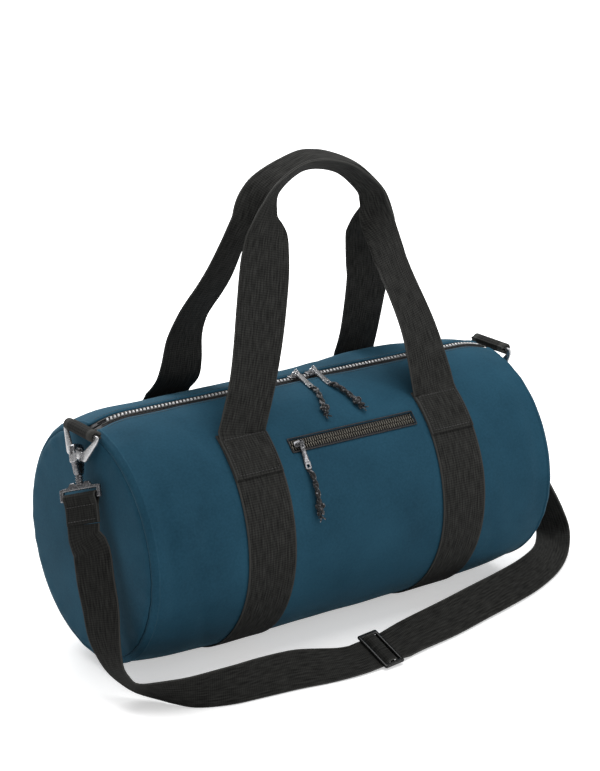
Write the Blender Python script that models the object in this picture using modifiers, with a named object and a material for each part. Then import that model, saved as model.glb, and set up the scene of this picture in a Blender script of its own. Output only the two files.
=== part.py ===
"""Barrel-shaped sports bag with zip, slip pocket, carry handles and a clip-on shoulder strap.

Metres, +Z up. X runs along the barrel, -Y is the front, and the bag stands on z = 0.
The origin is on the floor under the middle of the barrel.
"""

import math

import bmesh
import bpy
import numpy as np
from mathutils import Matrix, Vector

# Barrel
BARREL_LENGTH = 0.500
BARREL_WIDTH = 0.2476
BARREL_TOP = 0.2585
BARREL_SAG = 0.0044
CLOTH = 0.0016
GAP = 0.0003
FLAT_DEPTH = 0.0015
FLAT_EDGE_SHARE = 0.8
STRAIGHT_TOP_LENGTH = 0.410
END_DROP = 0.0095
END_RISE = 0.0100
END_TAPER = 0.0045
PANEL_BULGE = 0.0070
PANEL_DOME_POWER = 2.2
PANEL_RING_SHARES = (1.0, 0.85, 0.5)
SEAM_INSET = 0.0020
BINDING_WIDTH = 0.0120
BINDING_THICKNESS = 0.0010
BINDING_REACH = 0.0240

# Webbing
WEBBING = 0.0016
BAND_WIDTH = 0.0550
BAND_SPACING = 0.2414
BAND_SHIFT = 0.0038
STITCH_TOP_SHARE = 0.5331
STITCH_LOW_SHARE = 0.8158
HINGE_INSET = 0.0030

# Carry handles
HANDLE_WEBBING_WIDTH = 0.0540
HANDLE_RISE = 0.2450
HANDLE_HALF_SPAN = 0.1207
HANDLE_REACH = 0.0690
HANDLE_STEPS = 44

# Main zip
ZIP_Y = -0.0046
SLOT_HALF_WIDTH = 0.0085
TAPE_THICKNESS = 0.0008
TAPE_HALF_WIDTH = 0.0160
TAPE_EDGE = 0.0012
ZIP_START = -0.2320
ZIP_END = 0.2420
TOOTH_PITCH = 0.0040
TOOTH_WIDTH = 0.0022
TOOTH_TIP = 0.0005
TOOTH_ROOT = 0.0026
BEAD_EDGE = 0.0042
TOOTH_HEIGHT = 0.0022

# Sliders and pulls
SLIDER_LENGTH = 0.0160
SLIDER_WIDTH = 0.0110
SLIDER_WAIST_SHARE = 0.7
SLIDER_PLATE = 0.0012
SLIDER_POST = 0.0005
SLIDER_SPACING = 0.0220
SLIDER_MIDDLE = 0.0055
BAIL_WIRE = 0.0008
BAIL_RISE = 0.0039
BAIL_LENGTH = 0.0090
LINK_RADIUS = 0.0030
LINK_WIRE = 0.0006
TAB_LENGTH = 0.0265
TAB_WIDTH = 0.0070
TAB_THICKNESS = 0.0012
TAB_HOLE = 0.0013
TAB_NEAR_SHARE = 0.36
TAB_CLEARANCE = 0.0006
CORD_RADIUS = 0.0019
KNOT_RADIUS = 0.0040
CORD_LEFT_LEAN = -0.0080
CORD_RIGHT_LEAN = 0.0150
CORD_POCKET_LEAN = 0.0020
MAIN_CORD_REACH = 0.0700
POCKET_CORD_REACH = 0.0710
CORD_PLACE_SHARES = (0.0, 0.12, 0.35, 0.6, 0.74, 0.82, 0.9, 1.0)
CORD_SWELL_SHARES = (0.35, 0.9, 1.0, 1.0, 1.0, KNOT_RADIUS / CORD_RADIUS, KNOT_RADIUS / CORD_RADIUS, 0.8)

# Slip pocket
POCKET_LEFT = -0.0700
POCKET_RIGHT = 0.0840
POCKET_REACH = 0.0870
POCKET_HEIGHT = 0.0130
POCKET_FRAME = 0.0030
POCKET_FRAME_THICKNESS = 0.0007
POCKET_TAPE_OVERLAP = 0.0040
POCKET_TOOTH_PITCH = 0.0040
POCKET_TOOTH_WIDTH = 0.0022
POCKET_TOOTH_ROOT = 0.0018
POCKET_BEAD_EDGE = 0.0028
POCKET_TOOTH_HEIGHT = 0.0014
POCKET_SLIDER_LENGTH = 0.0120
POCKET_SLIDER_WIDTH = 0.0080
POCKET_SLIDER_X = -0.0600
POCKET_TAB_LENGTH = 0.0240
POCKET_BAG_DEPTH = 0.1000
POCKET_BAG_SPACE = 0.0120
POCKET_LINING = 0.0006

# End rings
RING_WIDTH = 0.0630
RING_LOW_WIDTH = 0.0340
RING_DROP = 0.0280
RING_BAR = 0.0040
RING_SHOULDER = 0.0050
RING_SIDE = 0.0060
RING_FOOT = 0.0070
RING_THICKNESS = 0.0032
RING_STANDOFF = 0.0080
RING_LEAN = math.radians(13.0)
LOOP_LENGTH = 0.0500
LOOP_HEIGHT_DROP = 0.0012
LOOP_CLEARANCE = 0.0010

# Snap hooks
HOOK_WIDTH = 0.0060
HOOK_WALL = 0.0038
HOOK_EYE_LENGTH = 0.0180
HOOK_EYE_WIDTH = 0.0100
HOOK_REACH = 0.0416
HOOK_SEAT = 0.0022
HOOK_NECK = 0.0085
TURNED_SIDES = 16
GATE_LENGTH = 0.0118
GATE_THICKNESS = 0.0030
STEM_RADIUS = 0.0017
COLLAR_RADIUS = 0.0042
COLLAR_RIB = 0.0008
COLLAR_TOP = 0.0215
COLLAR_BORE_DEPTH = 0.0060
COLLAR_RIBS = 4
RIB_CREST_SHARE = 0.55
RIB_SLOPE_SHARE = 0.65
RIB_GROOVE_SHARE = 0.9
BASE_WIDTH = 0.0488
BASE_THICKNESS = 0.0036
BASE_HEIGHT = 0.0150
BASE_SHOULDER = 0.0095
BASE_NOTCH = 0.0030
BASE_BAR = 0.0044
BASE_SLOT = 0.0050
BASE_STEP_SHARE = 0.55
STRAP_CLEARANCE = 0.0010

# Shoulder strap
STRAP_WIDTH = 0.0380
SEWN_END_LENGTH = 0.0260
ADJUSTER_LENGTH = 0.0250
ADJUSTER_MARGIN = 0.0050
ADJUSTER_BAR = 0.0035
ADJUSTER_MIDDLE_BAR = 0.0040
ADJUSTER_THICKNESS = 0.0026

LEFT = -1
RIGHT = 1
FRONT = 1
BACK = -1

# Where each handle's webbing runs, from its left foot to its right foot: along the bag as a share of
# HANDLE_HALF_SPAN, inwards as a share of HANDLE_REACH and upwards as a share of HANDLE_RISE, then the
# webbing's edge-to-edge direction as shares of HANDLE_WEBBING_WIDTH. It is folded in half at the grip.
FRONT_HANDLE_SHARES = (
    (-0.97, 0.00, 0.00, 1.00, 0.00, 0.00),
    (-0.85, 0.06, 0.165, 1.00, 0.00, -0.05),
    (-0.76, 0.145, 0.31, 1.00, -0.05, -0.04),
    (-0.66, 0.29, 0.47, 1.00, -0.12, -0.04),
    (-0.57, 0.435, 0.62, 1.00, -0.10, -0.04),
    (-0.50, 0.55, 0.745, 0.94, 0.13, -0.15),
    (-0.46, 0.63, 0.83, 0.60, 0.31, -0.20),
    (-0.355, 0.65, 0.92, 0.32, 0.36, -0.22),
    (-0.075, 0.62, 0.995, 0.17, 0.42, -0.24),
    (0.27, 0.59, 0.97, 0.00, 0.46, -0.22),
    (0.55, 0.61, 0.87, -0.24, 0.42, -0.13),
    (0.64, 0.67, 0.80, -0.37, 0.36, -0.05),
    (0.705, 0.75, 0.725, -0.60, 0.19, 0.04),
    (0.76, 0.70, 0.635, -0.83, -0.11, 0.15),
    (0.82, 0.55, 0.505, -0.945, -0.24, 0.20),
    (0.95, 0.245, 0.26, -0.98, -0.185, 0.13),
    (1.03, 0.00, 0.00, -1.00, 0.00, 0.00),
)
BACK_HANDLE_SHARES = (
    (-0.97, 0.00, 0.00, 1.00, 0.00, 0.00),
    (-0.95, 0.30, 0.085, 1.00, 0.06, -0.07),
    (-0.935, 0.39, 0.165, 0.98, 0.15, -0.09),
    (-0.91, 0.41, 0.27, 0.945, 0.28, -0.13),
    (-0.86, 0.48, 0.36, 0.89, 0.39, -0.22),
    (-0.795, 0.58, 0.435, 0.83, 0.41, -0.30),
    (-0.68, 0.70, 0.54, 0.76, 0.33, -0.30),
    (-0.58, 0.78, 0.655, 0.61, 0.20, -0.26),
    (-0.49, 0.825, 0.75, 0.47, 0.00, -0.22),
    (-0.315, 0.855, 0.89, 0.20, -0.44, -0.20),
    (0.085, 0.855, 0.98, 0.06, -0.50, -0.14),
    (0.33, 0.855, 0.985, 0.04, -0.50, -0.12),
    (0.555, 0.86, 0.955, 0.00, -0.50, -0.10),
    (0.73, 0.87, 0.91, -0.12, -0.48, -0.06),
    (0.81, 0.86, 0.85, -0.38, -0.38, 0.00),
    (0.88, 0.82, 0.765, -0.68, -0.14, 0.02),
    (0.93, 0.69, 0.665, -0.90, 0.18, 0.05),
    (0.98, 0.55, 0.575, -0.95, 0.28, 0.07),
    (1.02, 0.435, 0.475, -0.98, 0.15, 0.07),
    (1.035, 0.36, 0.375, -1.00, 0.02, 0.07),
    (1.03, 0.19, 0.15, -1.00, -0.06, 0.02),
    (1.03, 0.00, 0.00, -1.00, 0.00, 0.00),
)

# The shoulder strap's route between its two sewn ends, from the left hook to the right one: the middle
# of the webbing and its edge-to-edge direction, chosen by hand.
STRAP_ROUTE = (
    ((-0.276, -0.049, 0.143), (0.024, -0.028, 0.008)),
    ((-0.278, -0.059, 0.117), (0.025, -0.028, 0.007)),
    ((-0.279, -0.069, 0.091), (0.022, -0.030, 0.008)),
    ((-0.281, -0.077, 0.068), (0.016, -0.033, 0.009)),
    ((-0.280, -0.084, 0.050), (0.007, -0.035, 0.013)),
    ((-0.277, -0.090, 0.036), (-0.001, -0.034, 0.016)),
    ((-0.271, -0.097, 0.026), (-0.008, -0.031, 0.020)),
    ((-0.264, -0.105, 0.019), (-0.014, -0.027, 0.023)),
    ((-0.254, -0.116, 0.017), (-0.018, -0.020, 0.027)),
    ((-0.242, -0.130, 0.018), (-0.016, -0.012, 0.031)),
    ((-0.222, -0.145, 0.019), (-0.011, -0.004, 0.035)),
    ((-0.187, -0.155, 0.020), (-0.003, 0.005, 0.037)),
    ((-0.150, -0.156, 0.019), (0.001, 0.013, 0.035)),
    ((-0.111, -0.157, 0.017), (0.004, 0.021, 0.031)),
    ((-0.078, -0.159, 0.013), (0.005, 0.029, 0.023)),
    ((-0.050, -0.160, 0.010), (0.003, 0.034, 0.016)),
    ((-0.023, -0.159, 0.009), (-0.002, 0.035, 0.014)),
    ((0.003, -0.157, 0.010), (-0.005, 0.034, 0.016)),
    ((0.035, -0.152, 0.013), (-0.006, 0.031, 0.020)),
    ((0.089, -0.145, 0.016), (-0.005, 0.025, 0.028)),
    ((0.138, -0.135, 0.018), (-0.005, 0.020, 0.032)),
    ((0.188, -0.122, 0.018), (-0.006, 0.020, 0.031)),
    ((0.234, -0.105, 0.016), (-0.010, 0.023, 0.028)),
    ((0.277, -0.082, 0.013), (-0.015, 0.027, 0.021)),
    ((0.309, -0.058, 0.010), (-0.020, 0.030, 0.012)),
    ((0.328, -0.041, 0.013), (-0.023, 0.030, 0.002)),
    ((0.336, -0.031, 0.024), (-0.022, 0.030, -0.007)),
    ((0.332, -0.026, 0.043), (-0.017, 0.032, -0.012)),
    ((0.323, -0.021, 0.066), (-0.013, 0.034, -0.013)),
    ((0.308, -0.014, 0.098), (-0.008, 0.036, -0.011)),
    ((0.290, -0.008, 0.126), (-0.004, 0.037, -0.006)),
)
ADJUSTER_PLACE_SHARE = 0.453
STRAP_STEP = 0.014

# Hand-chosen places of the left hook's strap bar relative to the ring's foot, and its bar's direction.
LEFT_HOOK_DIRECTION = (-0.17, -0.42, -0.89)
LEFT_BAR_DIRECTION = (0.44, -0.82, 0.36)
RIGHT_HOOK_DIRECTION = (0.17, 0.00, -0.985)
RIGHT_BAR_DIRECTION = (0.00, -1.00, 0.00)

HALF_LENGTH = BARREL_LENGTH / 2
BARREL_BASE = WEBBING + GAP
BAND_OFFSET = GAP
PATCH_OFFSET = BAND_OFFSET + WEBBING + GAP
HINGE_OFFSET = PATCH_OFFSET + WEBBING + GAP + WEBBING / 2
PANEL_INNER_FACE = HALF_LENGTH - SEAM_INSET - CLOTH - GAP
TAPE_TOP = -CLOTH - GAP
TAPE_BOTTOM = TAPE_TOP - TAPE_THICKNESS
TEETH_BOTTOM = TAPE_TOP + GAP

for existing in list(bpy.data.objects):
    bpy.data.objects.remove(existing, do_unlink=True)

BAG = bpy.data.collections.new("sports_bag")
CUTTERS = bpy.data.collections.new("cutters")
bpy.context.scene.collection.children.link(BAG)
bpy.context.scene.collection.children.link(CUTTERS)


def make_material(name, colour, roughness, metallic=0.0):
    """Return a Principled material."""
    material = bpy.data.materials.new(name)
    material.use_nodes = True
    shader = material.node_tree.nodes["Principled BSDF"]
    shader.inputs["Base Color"].default_value = (*colour, 1.0)
    shader.inputs["Roughness"].default_value = roughness
    shader.inputs["Metallic"].default_value = metallic
    return material


def canvas(name):
    return make_material(name, (0.020, 0.065, 0.105), 0.85)


def webbing(name):
    return make_material(name, (0.022, 0.022, 0.021), 0.80)


def dark_metal(name):
    return make_material(name, (0.10, 0.10, 0.11), 0.30, 1.0)


def bright_teeth(name):
    return make_material(name, (0.45, 0.45, 0.46), 0.35, 0.8)


def black_tape(name):
    return make_material(name, (0.015, 0.015, 0.020), 0.75)


def link_object(thing, material, collection=BAG):
    """Put an object in its collection with its own material."""
    collection.objects.link(thing)
    thing.data.materials.clear()
    thing.data.materials.append(material)
    return thing


def mesh_object(name, vertices, faces, material, smooth_angle=35.0):
    """Make a named mesh object with consistent outward normals."""
    mesh = bpy.data.meshes.new(name)
    mesh.from_pydata([tuple(vertex) for vertex in vertices], [], faces)
    work = bmesh.new()
    work.from_mesh(mesh)
    bmesh.ops.recalc_face_normals(work, faces=work.faces)
    work.to_mesh(mesh)
    work.free()
    mesh.shade_smooth()
    mesh.set_sharp_from_angle(angle=math.radians(smooth_angle))
    return link_object(bpy.data.objects.new(name, mesh), material)


def apply_modifiers(thing):
    """Turn an object's evaluated shape into its own mesh."""
    graph = bpy.context.evaluated_depsgraph_get()
    graph.update()
    mesh = bpy.data.meshes.new_from_object(thing.evaluated_get(graph))
    work = bmesh.new()
    work.from_mesh(mesh)
    bmesh.ops.remove_doubles(work, verts=work.verts, dist=GAP / 100)
    bmesh.ops.recalc_face_normals(work, faces=work.faces)
    work.to_mesh(mesh)
    work.free()
    if thing.type == "CURVE":
        material = thing.data.materials[0]
        name = thing.name
        solid = bpy.data.objects.new(name + "_mesh", mesh)
        solid.matrix_world = thing.matrix_world.copy()
        bpy.data.objects.remove(thing, do_unlink=True)
        solid.name = name
        return link_object(solid, material)
    thing.modifiers.clear()
    thing.data = mesh
    return thing


def join_solid(base, other, operation):
    """Apply a Boolean of another object to the base, and remove the other."""
    modifier = base.modifiers.new(operation.lower(), "BOOLEAN")
    modifier.operation = operation
    modifier.object = other
    apply_modifiers(base)
    bpy.data.objects.remove(other, do_unlink=True)
    return base


# Barrel surface


def end_share(x):
    """0 at the middle of the barrel and 1 at its end seams."""
    return min(abs(x) / HALF_LENGTH, 1.0)


def top_drop(x):
    """How far the zip line has dropped at x: nothing on the straight, then a smooth fall."""
    straight = STRAIGHT_TOP_LENGTH / 2
    if abs(x) <= straight:
        return 0.0
    return END_DROP * min((abs(x) - straight) / (HALF_LENGTH - straight), 1.0) ** 2


def section(x):
    """Half width, centre height and the upper and lower heights of the barrel's section."""
    half_width = BARREL_WIDTH / 2 - END_TAPER * end_share(x) ** 4
    top = BARREL_TOP - top_drop(x)
    bottom = BARREL_BASE - FLAT_DEPTH + END_RISE * end_share(x) ** 6
    centre = (top + bottom) / 2 - BARREL_SAG
    return half_width, centre, top - centre, centre - bottom


def barrel_point(x, angle, offset=0.0):
    """Point on the barrel's cloth. The angle is 0 on top and grows towards the front."""
    half_width, centre, above, below = section(x)
    height = above if math.cos(angle) >= 0 else below
    y = -half_width * math.sin(angle)
    z = centre + height * math.cos(angle)
    normal = Vector((0.0, -height * math.sin(angle), half_width * math.cos(angle))).normalized()
    point = Vector((x, y, z)) + offset * normal
    lowest = BARREL_BASE - offset
    if math.cos(angle) < 0:
        point.z = max(point.z, lowest)
    return point


def angle_at_reach(reach):
    """Angle at which the barrel's middle section is this far to the front."""
    return math.asin(reach / (BARREL_WIDTH / 2))


def angle_step(length):
    """Angle that this length takes along the barrel's girth."""
    return length / (BARREL_WIDTH / 2)


def spread(first, last, count):
    """Evenly spaced values from first to last, both included."""
    return [first + (last - first) * index / count for index in range(count)] + [last]


def cloth_patch(name, xs, angles, offset, thickness, material, hole=None, shape=barrel_point):
    """Sheet that follows the barrel, with an optional rectangular hole given as grid indices."""
    columns = len(angles)
    vertices = [shape(x, angle, offset) for x in xs for angle in angles]
    faces = []
    for row in range(len(xs) - 1):
        for column in range(columns - 1):
            if hole and hole[0] <= row < hole[1] and hole[2] <= column < hole[3]:
                continue
            corner = row * columns + column
            faces.append((corner, corner + 1, corner + columns + 1, corner + columns))
    mesh = bpy.data.meshes.new(name)
    mesh.from_pydata([tuple(vertex) for vertex in vertices], [], faces)
    work = bmesh.new()
    work.from_mesh(mesh)
    loose = [vertex for vertex in work.verts if not vertex.link_faces]
    bmesh.ops.delete(work, geom=loose, context="VERTS")
    work.to_mesh(mesh)
    work.free()
    mesh.shade_smooth()
    sheet = link_object(bpy.data.objects.new(name, mesh), material)
    solidify = sheet.modifiers.new("thickness", "SOLIDIFY")
    solidify.thickness = thickness
    solidify.offset = 1.0
    solidify.use_even_offset = True
    return sheet


SLOT_FRONT_ANGLE = math.asin((SLOT_HALF_WIDTH - ZIP_Y) / (BARREL_WIDTH / 2))
SLOT_BACK_ANGLE = math.asin((-SLOT_HALF_WIDTH - ZIP_Y) / (BARREL_WIDTH / 2))
FULL_TURN = 2 * math.pi
TAPE_FRONT_ANGLE = angle_at_reach(TAPE_HALF_WIDTH - ZIP_Y)
TAPE_BACK_ANGLE = FULL_TURN - angle_at_reach(TAPE_HALF_WIDTH + ZIP_Y)
BINDING_FRONT_ANGLE = angle_at_reach(BINDING_REACH - ZIP_Y)
BINDING_BACK_ANGLE = FULL_TURN - angle_at_reach(BINDING_REACH + ZIP_Y)
POCKET_ANGLE = angle_at_reach(POCKET_REACH)
POCKET_TOP_ANGLE = POCKET_ANGLE - angle_step(POCKET_HEIGHT / 2)
POCKET_LOW_ANGLE = POCKET_ANGLE + angle_step(POCKET_HEIGHT / 2)
POCKET_OVERLAP_ANGLE = angle_step(POCKET_TAPE_OVERLAP)
STITCH_TOP_ANGLE = angle_at_reach(STITCH_TOP_SHARE * BARREL_WIDTH / 2)
STITCH_LOW_ANGLE = angle_at_reach(STITCH_LOW_SHARE * BARREL_WIDTH / 2)
STRAIGHT_HALF = STRAIGHT_TOP_LENGTH / 2
FLAT_ANGLE = math.acos(1 - FLAT_DEPTH * FLAT_EDGE_SHARE / (BARREL_WIDTH / 2))


BAND_HALF = BAND_WIDTH / 2
BAND_MIDDLES = {LEFT: BAND_SHIFT - BAND_SPACING / 2, RIGHT: BAND_SHIFT + BAND_SPACING / 2}


def subdivided(anchors, longest):
    """The anchors in order, with even steps no longer than this between them."""
    anchors = sorted(anchors)
    values = [anchors[0]]
    for first, last in zip(anchors, anchors[1:]):
        count = max(math.ceil((last - first) / longest - 1e-6), 1)
        values += spread(first, last, count)[1:]
    return values


# The cloth's grid: every sheet laid on the barrel shares these lines, so that sheets stay parallel.
GIRTH_STEP = FULL_TURN / 36
GIRTH_ANCHORS = (
    SLOT_FRONT_ANGLE, TAPE_FRONT_ANGLE, BINDING_FRONT_ANGLE, STITCH_TOP_ANGLE,
    POCKET_TOP_ANGLE - POCKET_OVERLAP_ANGLE, POCKET_TOP_ANGLE, POCKET_LOW_ANGLE,
    POCKET_LOW_ANGLE + POCKET_OVERLAP_ANGLE, STITCH_LOW_ANGLE, FULL_TURN / 4,
    FULL_TURN / 2 - FLAT_ANGLE, FULL_TURN / 2 + FLAT_ANGLE, FULL_TURN * 3 / 4, FULL_TURN - STITCH_LOW_ANGLE, FULL_TURN - STITCH_TOP_ANGLE, BINDING_BACK_ANGLE,
    TAPE_BACK_ANGLE, FULL_TURN + SLOT_BACK_ANGLE)
GIRTH_LINES = subdivided(GIRTH_ANCHORS, GIRTH_STEP)
END_LINES = spread(STRAIGHT_HALF, HALF_LENGTH, 3)
LENGTH_LINES = [-line for line in END_LINES] + END_LINES + [POCKET_LEFT, POCKET_RIGHT]
LENGTH_LINES += [middle + edge for middle in BAND_MIDDLES.values() for edge in (-BAND_HALF, BAND_HALF)]
LENGTH_LINES.sort()


def lines_between(lines, first, last):
    """The grid lines strictly between two places, with the two places themselves."""
    margin = (last - first) * 1e-4
    return [first] + [line for line in lines if first + margin < line < last - margin] + [last]


def make_barrel():
    """Cloth tube, open along the zip, with the pocket's slit."""
    hole = (LENGTH_LINES.index(POCKET_LEFT), LENGTH_LINES.index(POCKET_RIGHT),
            GIRTH_LINES.index(POCKET_TOP_ANGLE), GIRTH_LINES.index(POCKET_LOW_ANGLE))
    cloth_patch("barrel_panel", LENGTH_LINES, GIRTH_LINES, -CLOTH, CLOTH, canvas("barrel_cloth"), hole)


def end_panel_point(side, turn, share, inset):
    """Point of the domed end panel, from its rim (share 1) to its middle (share 0)."""
    x = side * HALF_LENGTH
    half_width, centre, above, below = section(x)
    rim = barrel_point(x, turn, -CLOTH - GAP)
    middle = Vector((0.0, 0.0, centre))
    flat = middle + (Vector((0.0, rim.y, rim.z)) - middle) * share
    depth = SEAM_INSET - PANEL_BULGE * (1 - share ** PANEL_DOME_POWER) + inset
    return Vector((side * (HALF_LENGTH - depth), flat.y, flat.z))


def make_end_panel(side, label):
    """Round domed panel that closes one end of the barrel."""
    turns = len(GIRTH_LINES)
    shares = PANEL_RING_SHARES
    vertices = []
    for inset in (0.0, CLOTH):
        for share in shares:
            for index in range(turns):
                vertices.append(end_panel_point(side, GIRTH_LINES[index], share, inset))
        vertices.append(end_panel_point(side, 0.0, 0.0, inset))
    layer = len(shares) * turns + 1
    faces = []
    for base in (0, layer):
        for ring in range(len(shares) - 1):
            for index in range(turns):
                here = base + ring * turns + index
                after = base + ring * turns + (index + 1) % turns
                faces.append((here, after, after + turns, here + turns))
        last = base + (len(shares) - 1) * turns
        for index in range(turns):
            faces.append((last + index, last + (index + 1) % turns, base + layer - 1))
    for index in range(turns):
        after = (index + 1) % turns
        faces.append((index, after, layer + after, layer + index))
    mesh_object("end_panel_" + label, vertices, faces, canvas("end_cloth_" + label))


def make_seam_binding(side, label):
    """Tape that binds the end seam inside the barrel."""
    outer = side * (PANEL_INNER_FACE - GAP)
    inner = outer - side * BINDING_WIDTH
    xs = lines_between(LENGTH_LINES, min(outer, inner), max(outer, inner))
    offset = -CLOTH - GAP - BINDING_THICKNESS
    angles = lines_between(GIRTH_LINES, BINDING_FRONT_ANGLE, BINDING_BACK_ANGLE)
    cloth_patch("seam_binding_" + label, xs, angles, offset, BINDING_THICKNESS, black_tape("binding_" + label))


def make_bands():
    """Webbing sewn round the barrel under the handles' feet, and the handles' sewn overlaps."""
    foot_half = HANDLE_WEBBING_WIDTH / 2
    feet = ((STITCH_TOP_ANGLE, STITCH_LOW_ANGLE, "front"),
            (FULL_TURN - STITCH_LOW_ANGLE, FULL_TURN - STITCH_TOP_ANGLE, "back"))
    for side, label in ((LEFT, "left"), (RIGHT, "right")):
        middle = BAND_MIDDLES[side]
        xs = lines_between(LENGTH_LINES, middle - BAND_HALF, middle + BAND_HALF)
        angles = lines_between(GIRTH_LINES, STITCH_TOP_ANGLE, FULL_TURN - STITCH_TOP_ANGLE)
        cloth_patch("band_" + label, xs, angles, BAND_OFFSET, WEBBING, webbing("band_webbing_" + label))
        xs = lines_between(LENGTH_LINES, middle - foot_half, middle + foot_half)
        for first, last, facing in feet:
            cloth_patch(f"handle_foot_{facing}_{label}", xs, lines_between(GIRTH_LINES, first, last),
                        PATCH_OFFSET, WEBBING, webbing(f"foot_webbing_{facing}_{label}"))


# Ribbons


def smooth_stations(stations, count):
    """Catmull-Rom samples through hand-chosen stations, evenly spaced by the stations' index."""
    table = np.array(stations, dtype=float)
    padded = np.vstack([2 * table[0] - table[1], table, 2 * table[-1] - table[-2]])
    samples = []
    for index in range(count + 1):
        place = index / count * (len(table) - 1)
        segment = min(int(place), len(table) - 2)
        t = place - segment
        p0, p1, p2, p3 = padded[segment:segment + 4]
        samples.append(p1 + (p2 - p0) * t / 2 + (2 * p0 - 5 * p1 + 4 * p2 - p3) * t ** 2 / 2
                       + (3 * p1 - p0 - 3 * p2 + p3) * t ** 3 / 2)
    return np.array(samples)


def ribbon(name, centres, widths, thicknesses, material):
    """Closed strip of webbing through these centres, with its edge-to-edge vectors."""
    centres = [Vector(centre) for centre in centres]
    widths = [Vector(width) for width in widths]
    vertices = []
    for index, centre in enumerate(centres):
        before = centres[max(index - 1, 0)]
        after = centres[min(index + 1, len(centres) - 1)]
        normal = (after - before).cross(widths[index]).normalized() * thicknesses[index] / 2
        half = widths[index] / 2
        vertices += [centre - half - normal, centre + half - normal,
                     centre + half + normal, centre - half + normal]
    faces = [(3, 2, 1, 0)]
    for index in range(len(centres) - 1):
        # Both broad faces are split along the same diagonal, so that twisted webbing keeps its thickness.
        low = [index * 4 + corner for corner in range(4)]
        high = [corner + 4 for corner in low]
        faces += [(low[0], low[1], high[1]), (low[0], high[1], high[0])]
        faces += [(low[2], low[3], high[2]), (low[3], high[3], high[2])]
        faces += [(low[1], low[2], high[2], high[1]), (low[3], low[0], high[0], high[3])]
    last = (len(centres) - 1) * 4
    faces.append((last, last + 1, last + 2, last + 3))
    return mesh_object(name, vertices, faces, material)


def hinge_point(face):
    """Where a handle's foot folds, above its sewn overlap."""
    angle = STITCH_TOP_ANGLE + angle_step(HINGE_INSET)
    return barrel_point(0.0, face * angle, HINGE_OFFSET)


def make_handle(name, shares, face, empty_name):
    """One carry handle: a single length of webbing, folded along its length at the grip."""
    foot = hinge_point(face)
    samples = smooth_stations(shares, HANDLE_STEPS)
    centres = []
    widths = []
    thicknesses = []
    for along, inwards, up, wide_x, wide_y, wide_z in samples:
        x = along * HANDLE_HALF_SPAN
        y = foot.y + face * inwards * HANDLE_REACH
        z = foot.z + up * HANDLE_RISE
        width = Vector((wide_x, wide_y, wide_z)) * HANDLE_WEBBING_WIDTH
        fold = min(max(2 - 2 * width.length / HANDLE_WEBBING_WIDTH, 0.0), 1.0)
        centres.append((x, y, z))
        widths.append(width)
        thicknesses.append(WEBBING * (1 + fold))
    handle = ribbon(name, centres, widths, thicknesses, webbing(name + "_webbing"))
    parent_to_axis([handle], empty_name, foot)


def parent_to_axis(things, empty_name, place, rotation=None):
    """Hang moving pieces on an empty that sits on their joint's axis."""
    empty = bpy.data.objects.new(empty_name, None)
    empty.location = place
    BAG.objects.link(empty)
    bpy.context.view_layer.update()
    for thing in things:
        thing.parent = empty
        thing.matrix_parent_inverse = empty.matrix_world.inverted()
    if rotation is not None:
        empty.rotation_mode = "QUATERNION"
        empty.rotation_quaternion = rotation
        bpy.context.view_layer.update()
    return empty


# Zips


def comb(name, start, stop, inwards, sizes, place, material):
    """One row of teeth on a bead: the outline of a comb, thickened along the zip's normal."""
    tip, root, edge, width, pitch, height = sizes
    first = start + pitch / 4 + (pitch / 2 if inwards > 0 else 0.0)
    count = int((stop - width - first) / pitch) + 1
    work = bmesh.new()
    layers = []
    for level in (0.0, height):
        edges = [start] + [first + index * pitch - (pitch - width) / 2 for index in range(1, count)] + [stop]
        back = [work.verts.new(place(x, -inwards * edge, level)) for x in edges]
        teeth = []
        for index in range(count):
            left = first + index * pitch
            corners = ((left, root), (left, tip), (left + width, tip), (left + width, root))
            teeth.append([work.verts.new(place(x, -inwards * y, level)) for x, y in corners])
        ends = [work.verts.new(place(x, -inwards * root, level)) for x in (start, stop)]
        layers.append((back, teeth, ends))
        for index, tooth in enumerate(teeth):
            work.faces.new(tooth)
            before = [ends[0]] if index == 0 else []
            after = [ends[1]] if index == count - 1 else [teeth[index + 1][0]]
            work.faces.new([back[index], *before, tooth[0], tooth[3], *after, back[index + 1]])
    rims = []
    for back, teeth, ends in layers:
        rims.append(back + [ends[1]] + [vert for tooth in reversed(teeth) for vert in reversed(tooth)] + [ends[0]])
    for index in range(len(rims[0])):
        after = (index + 1) % len(rims[0])
        work.faces.new([rims[0][index], rims[0][after], rims[1][after], rims[1][index]])
    bmesh.ops.recalc_face_normals(work, faces=work.faces)
    mesh = bpy.data.meshes.new(name)
    work.to_mesh(mesh)
    work.free()
    return link_object(bpy.data.objects.new(name, mesh), material)


def main_zip_place(x, y, height):
    """Place on the main zip: y from its middle line, height above the teeth's underside."""
    return Vector((x, ZIP_Y + y, BARREL_TOP - top_drop(x) + TEETH_BOTTOM + height))


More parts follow.
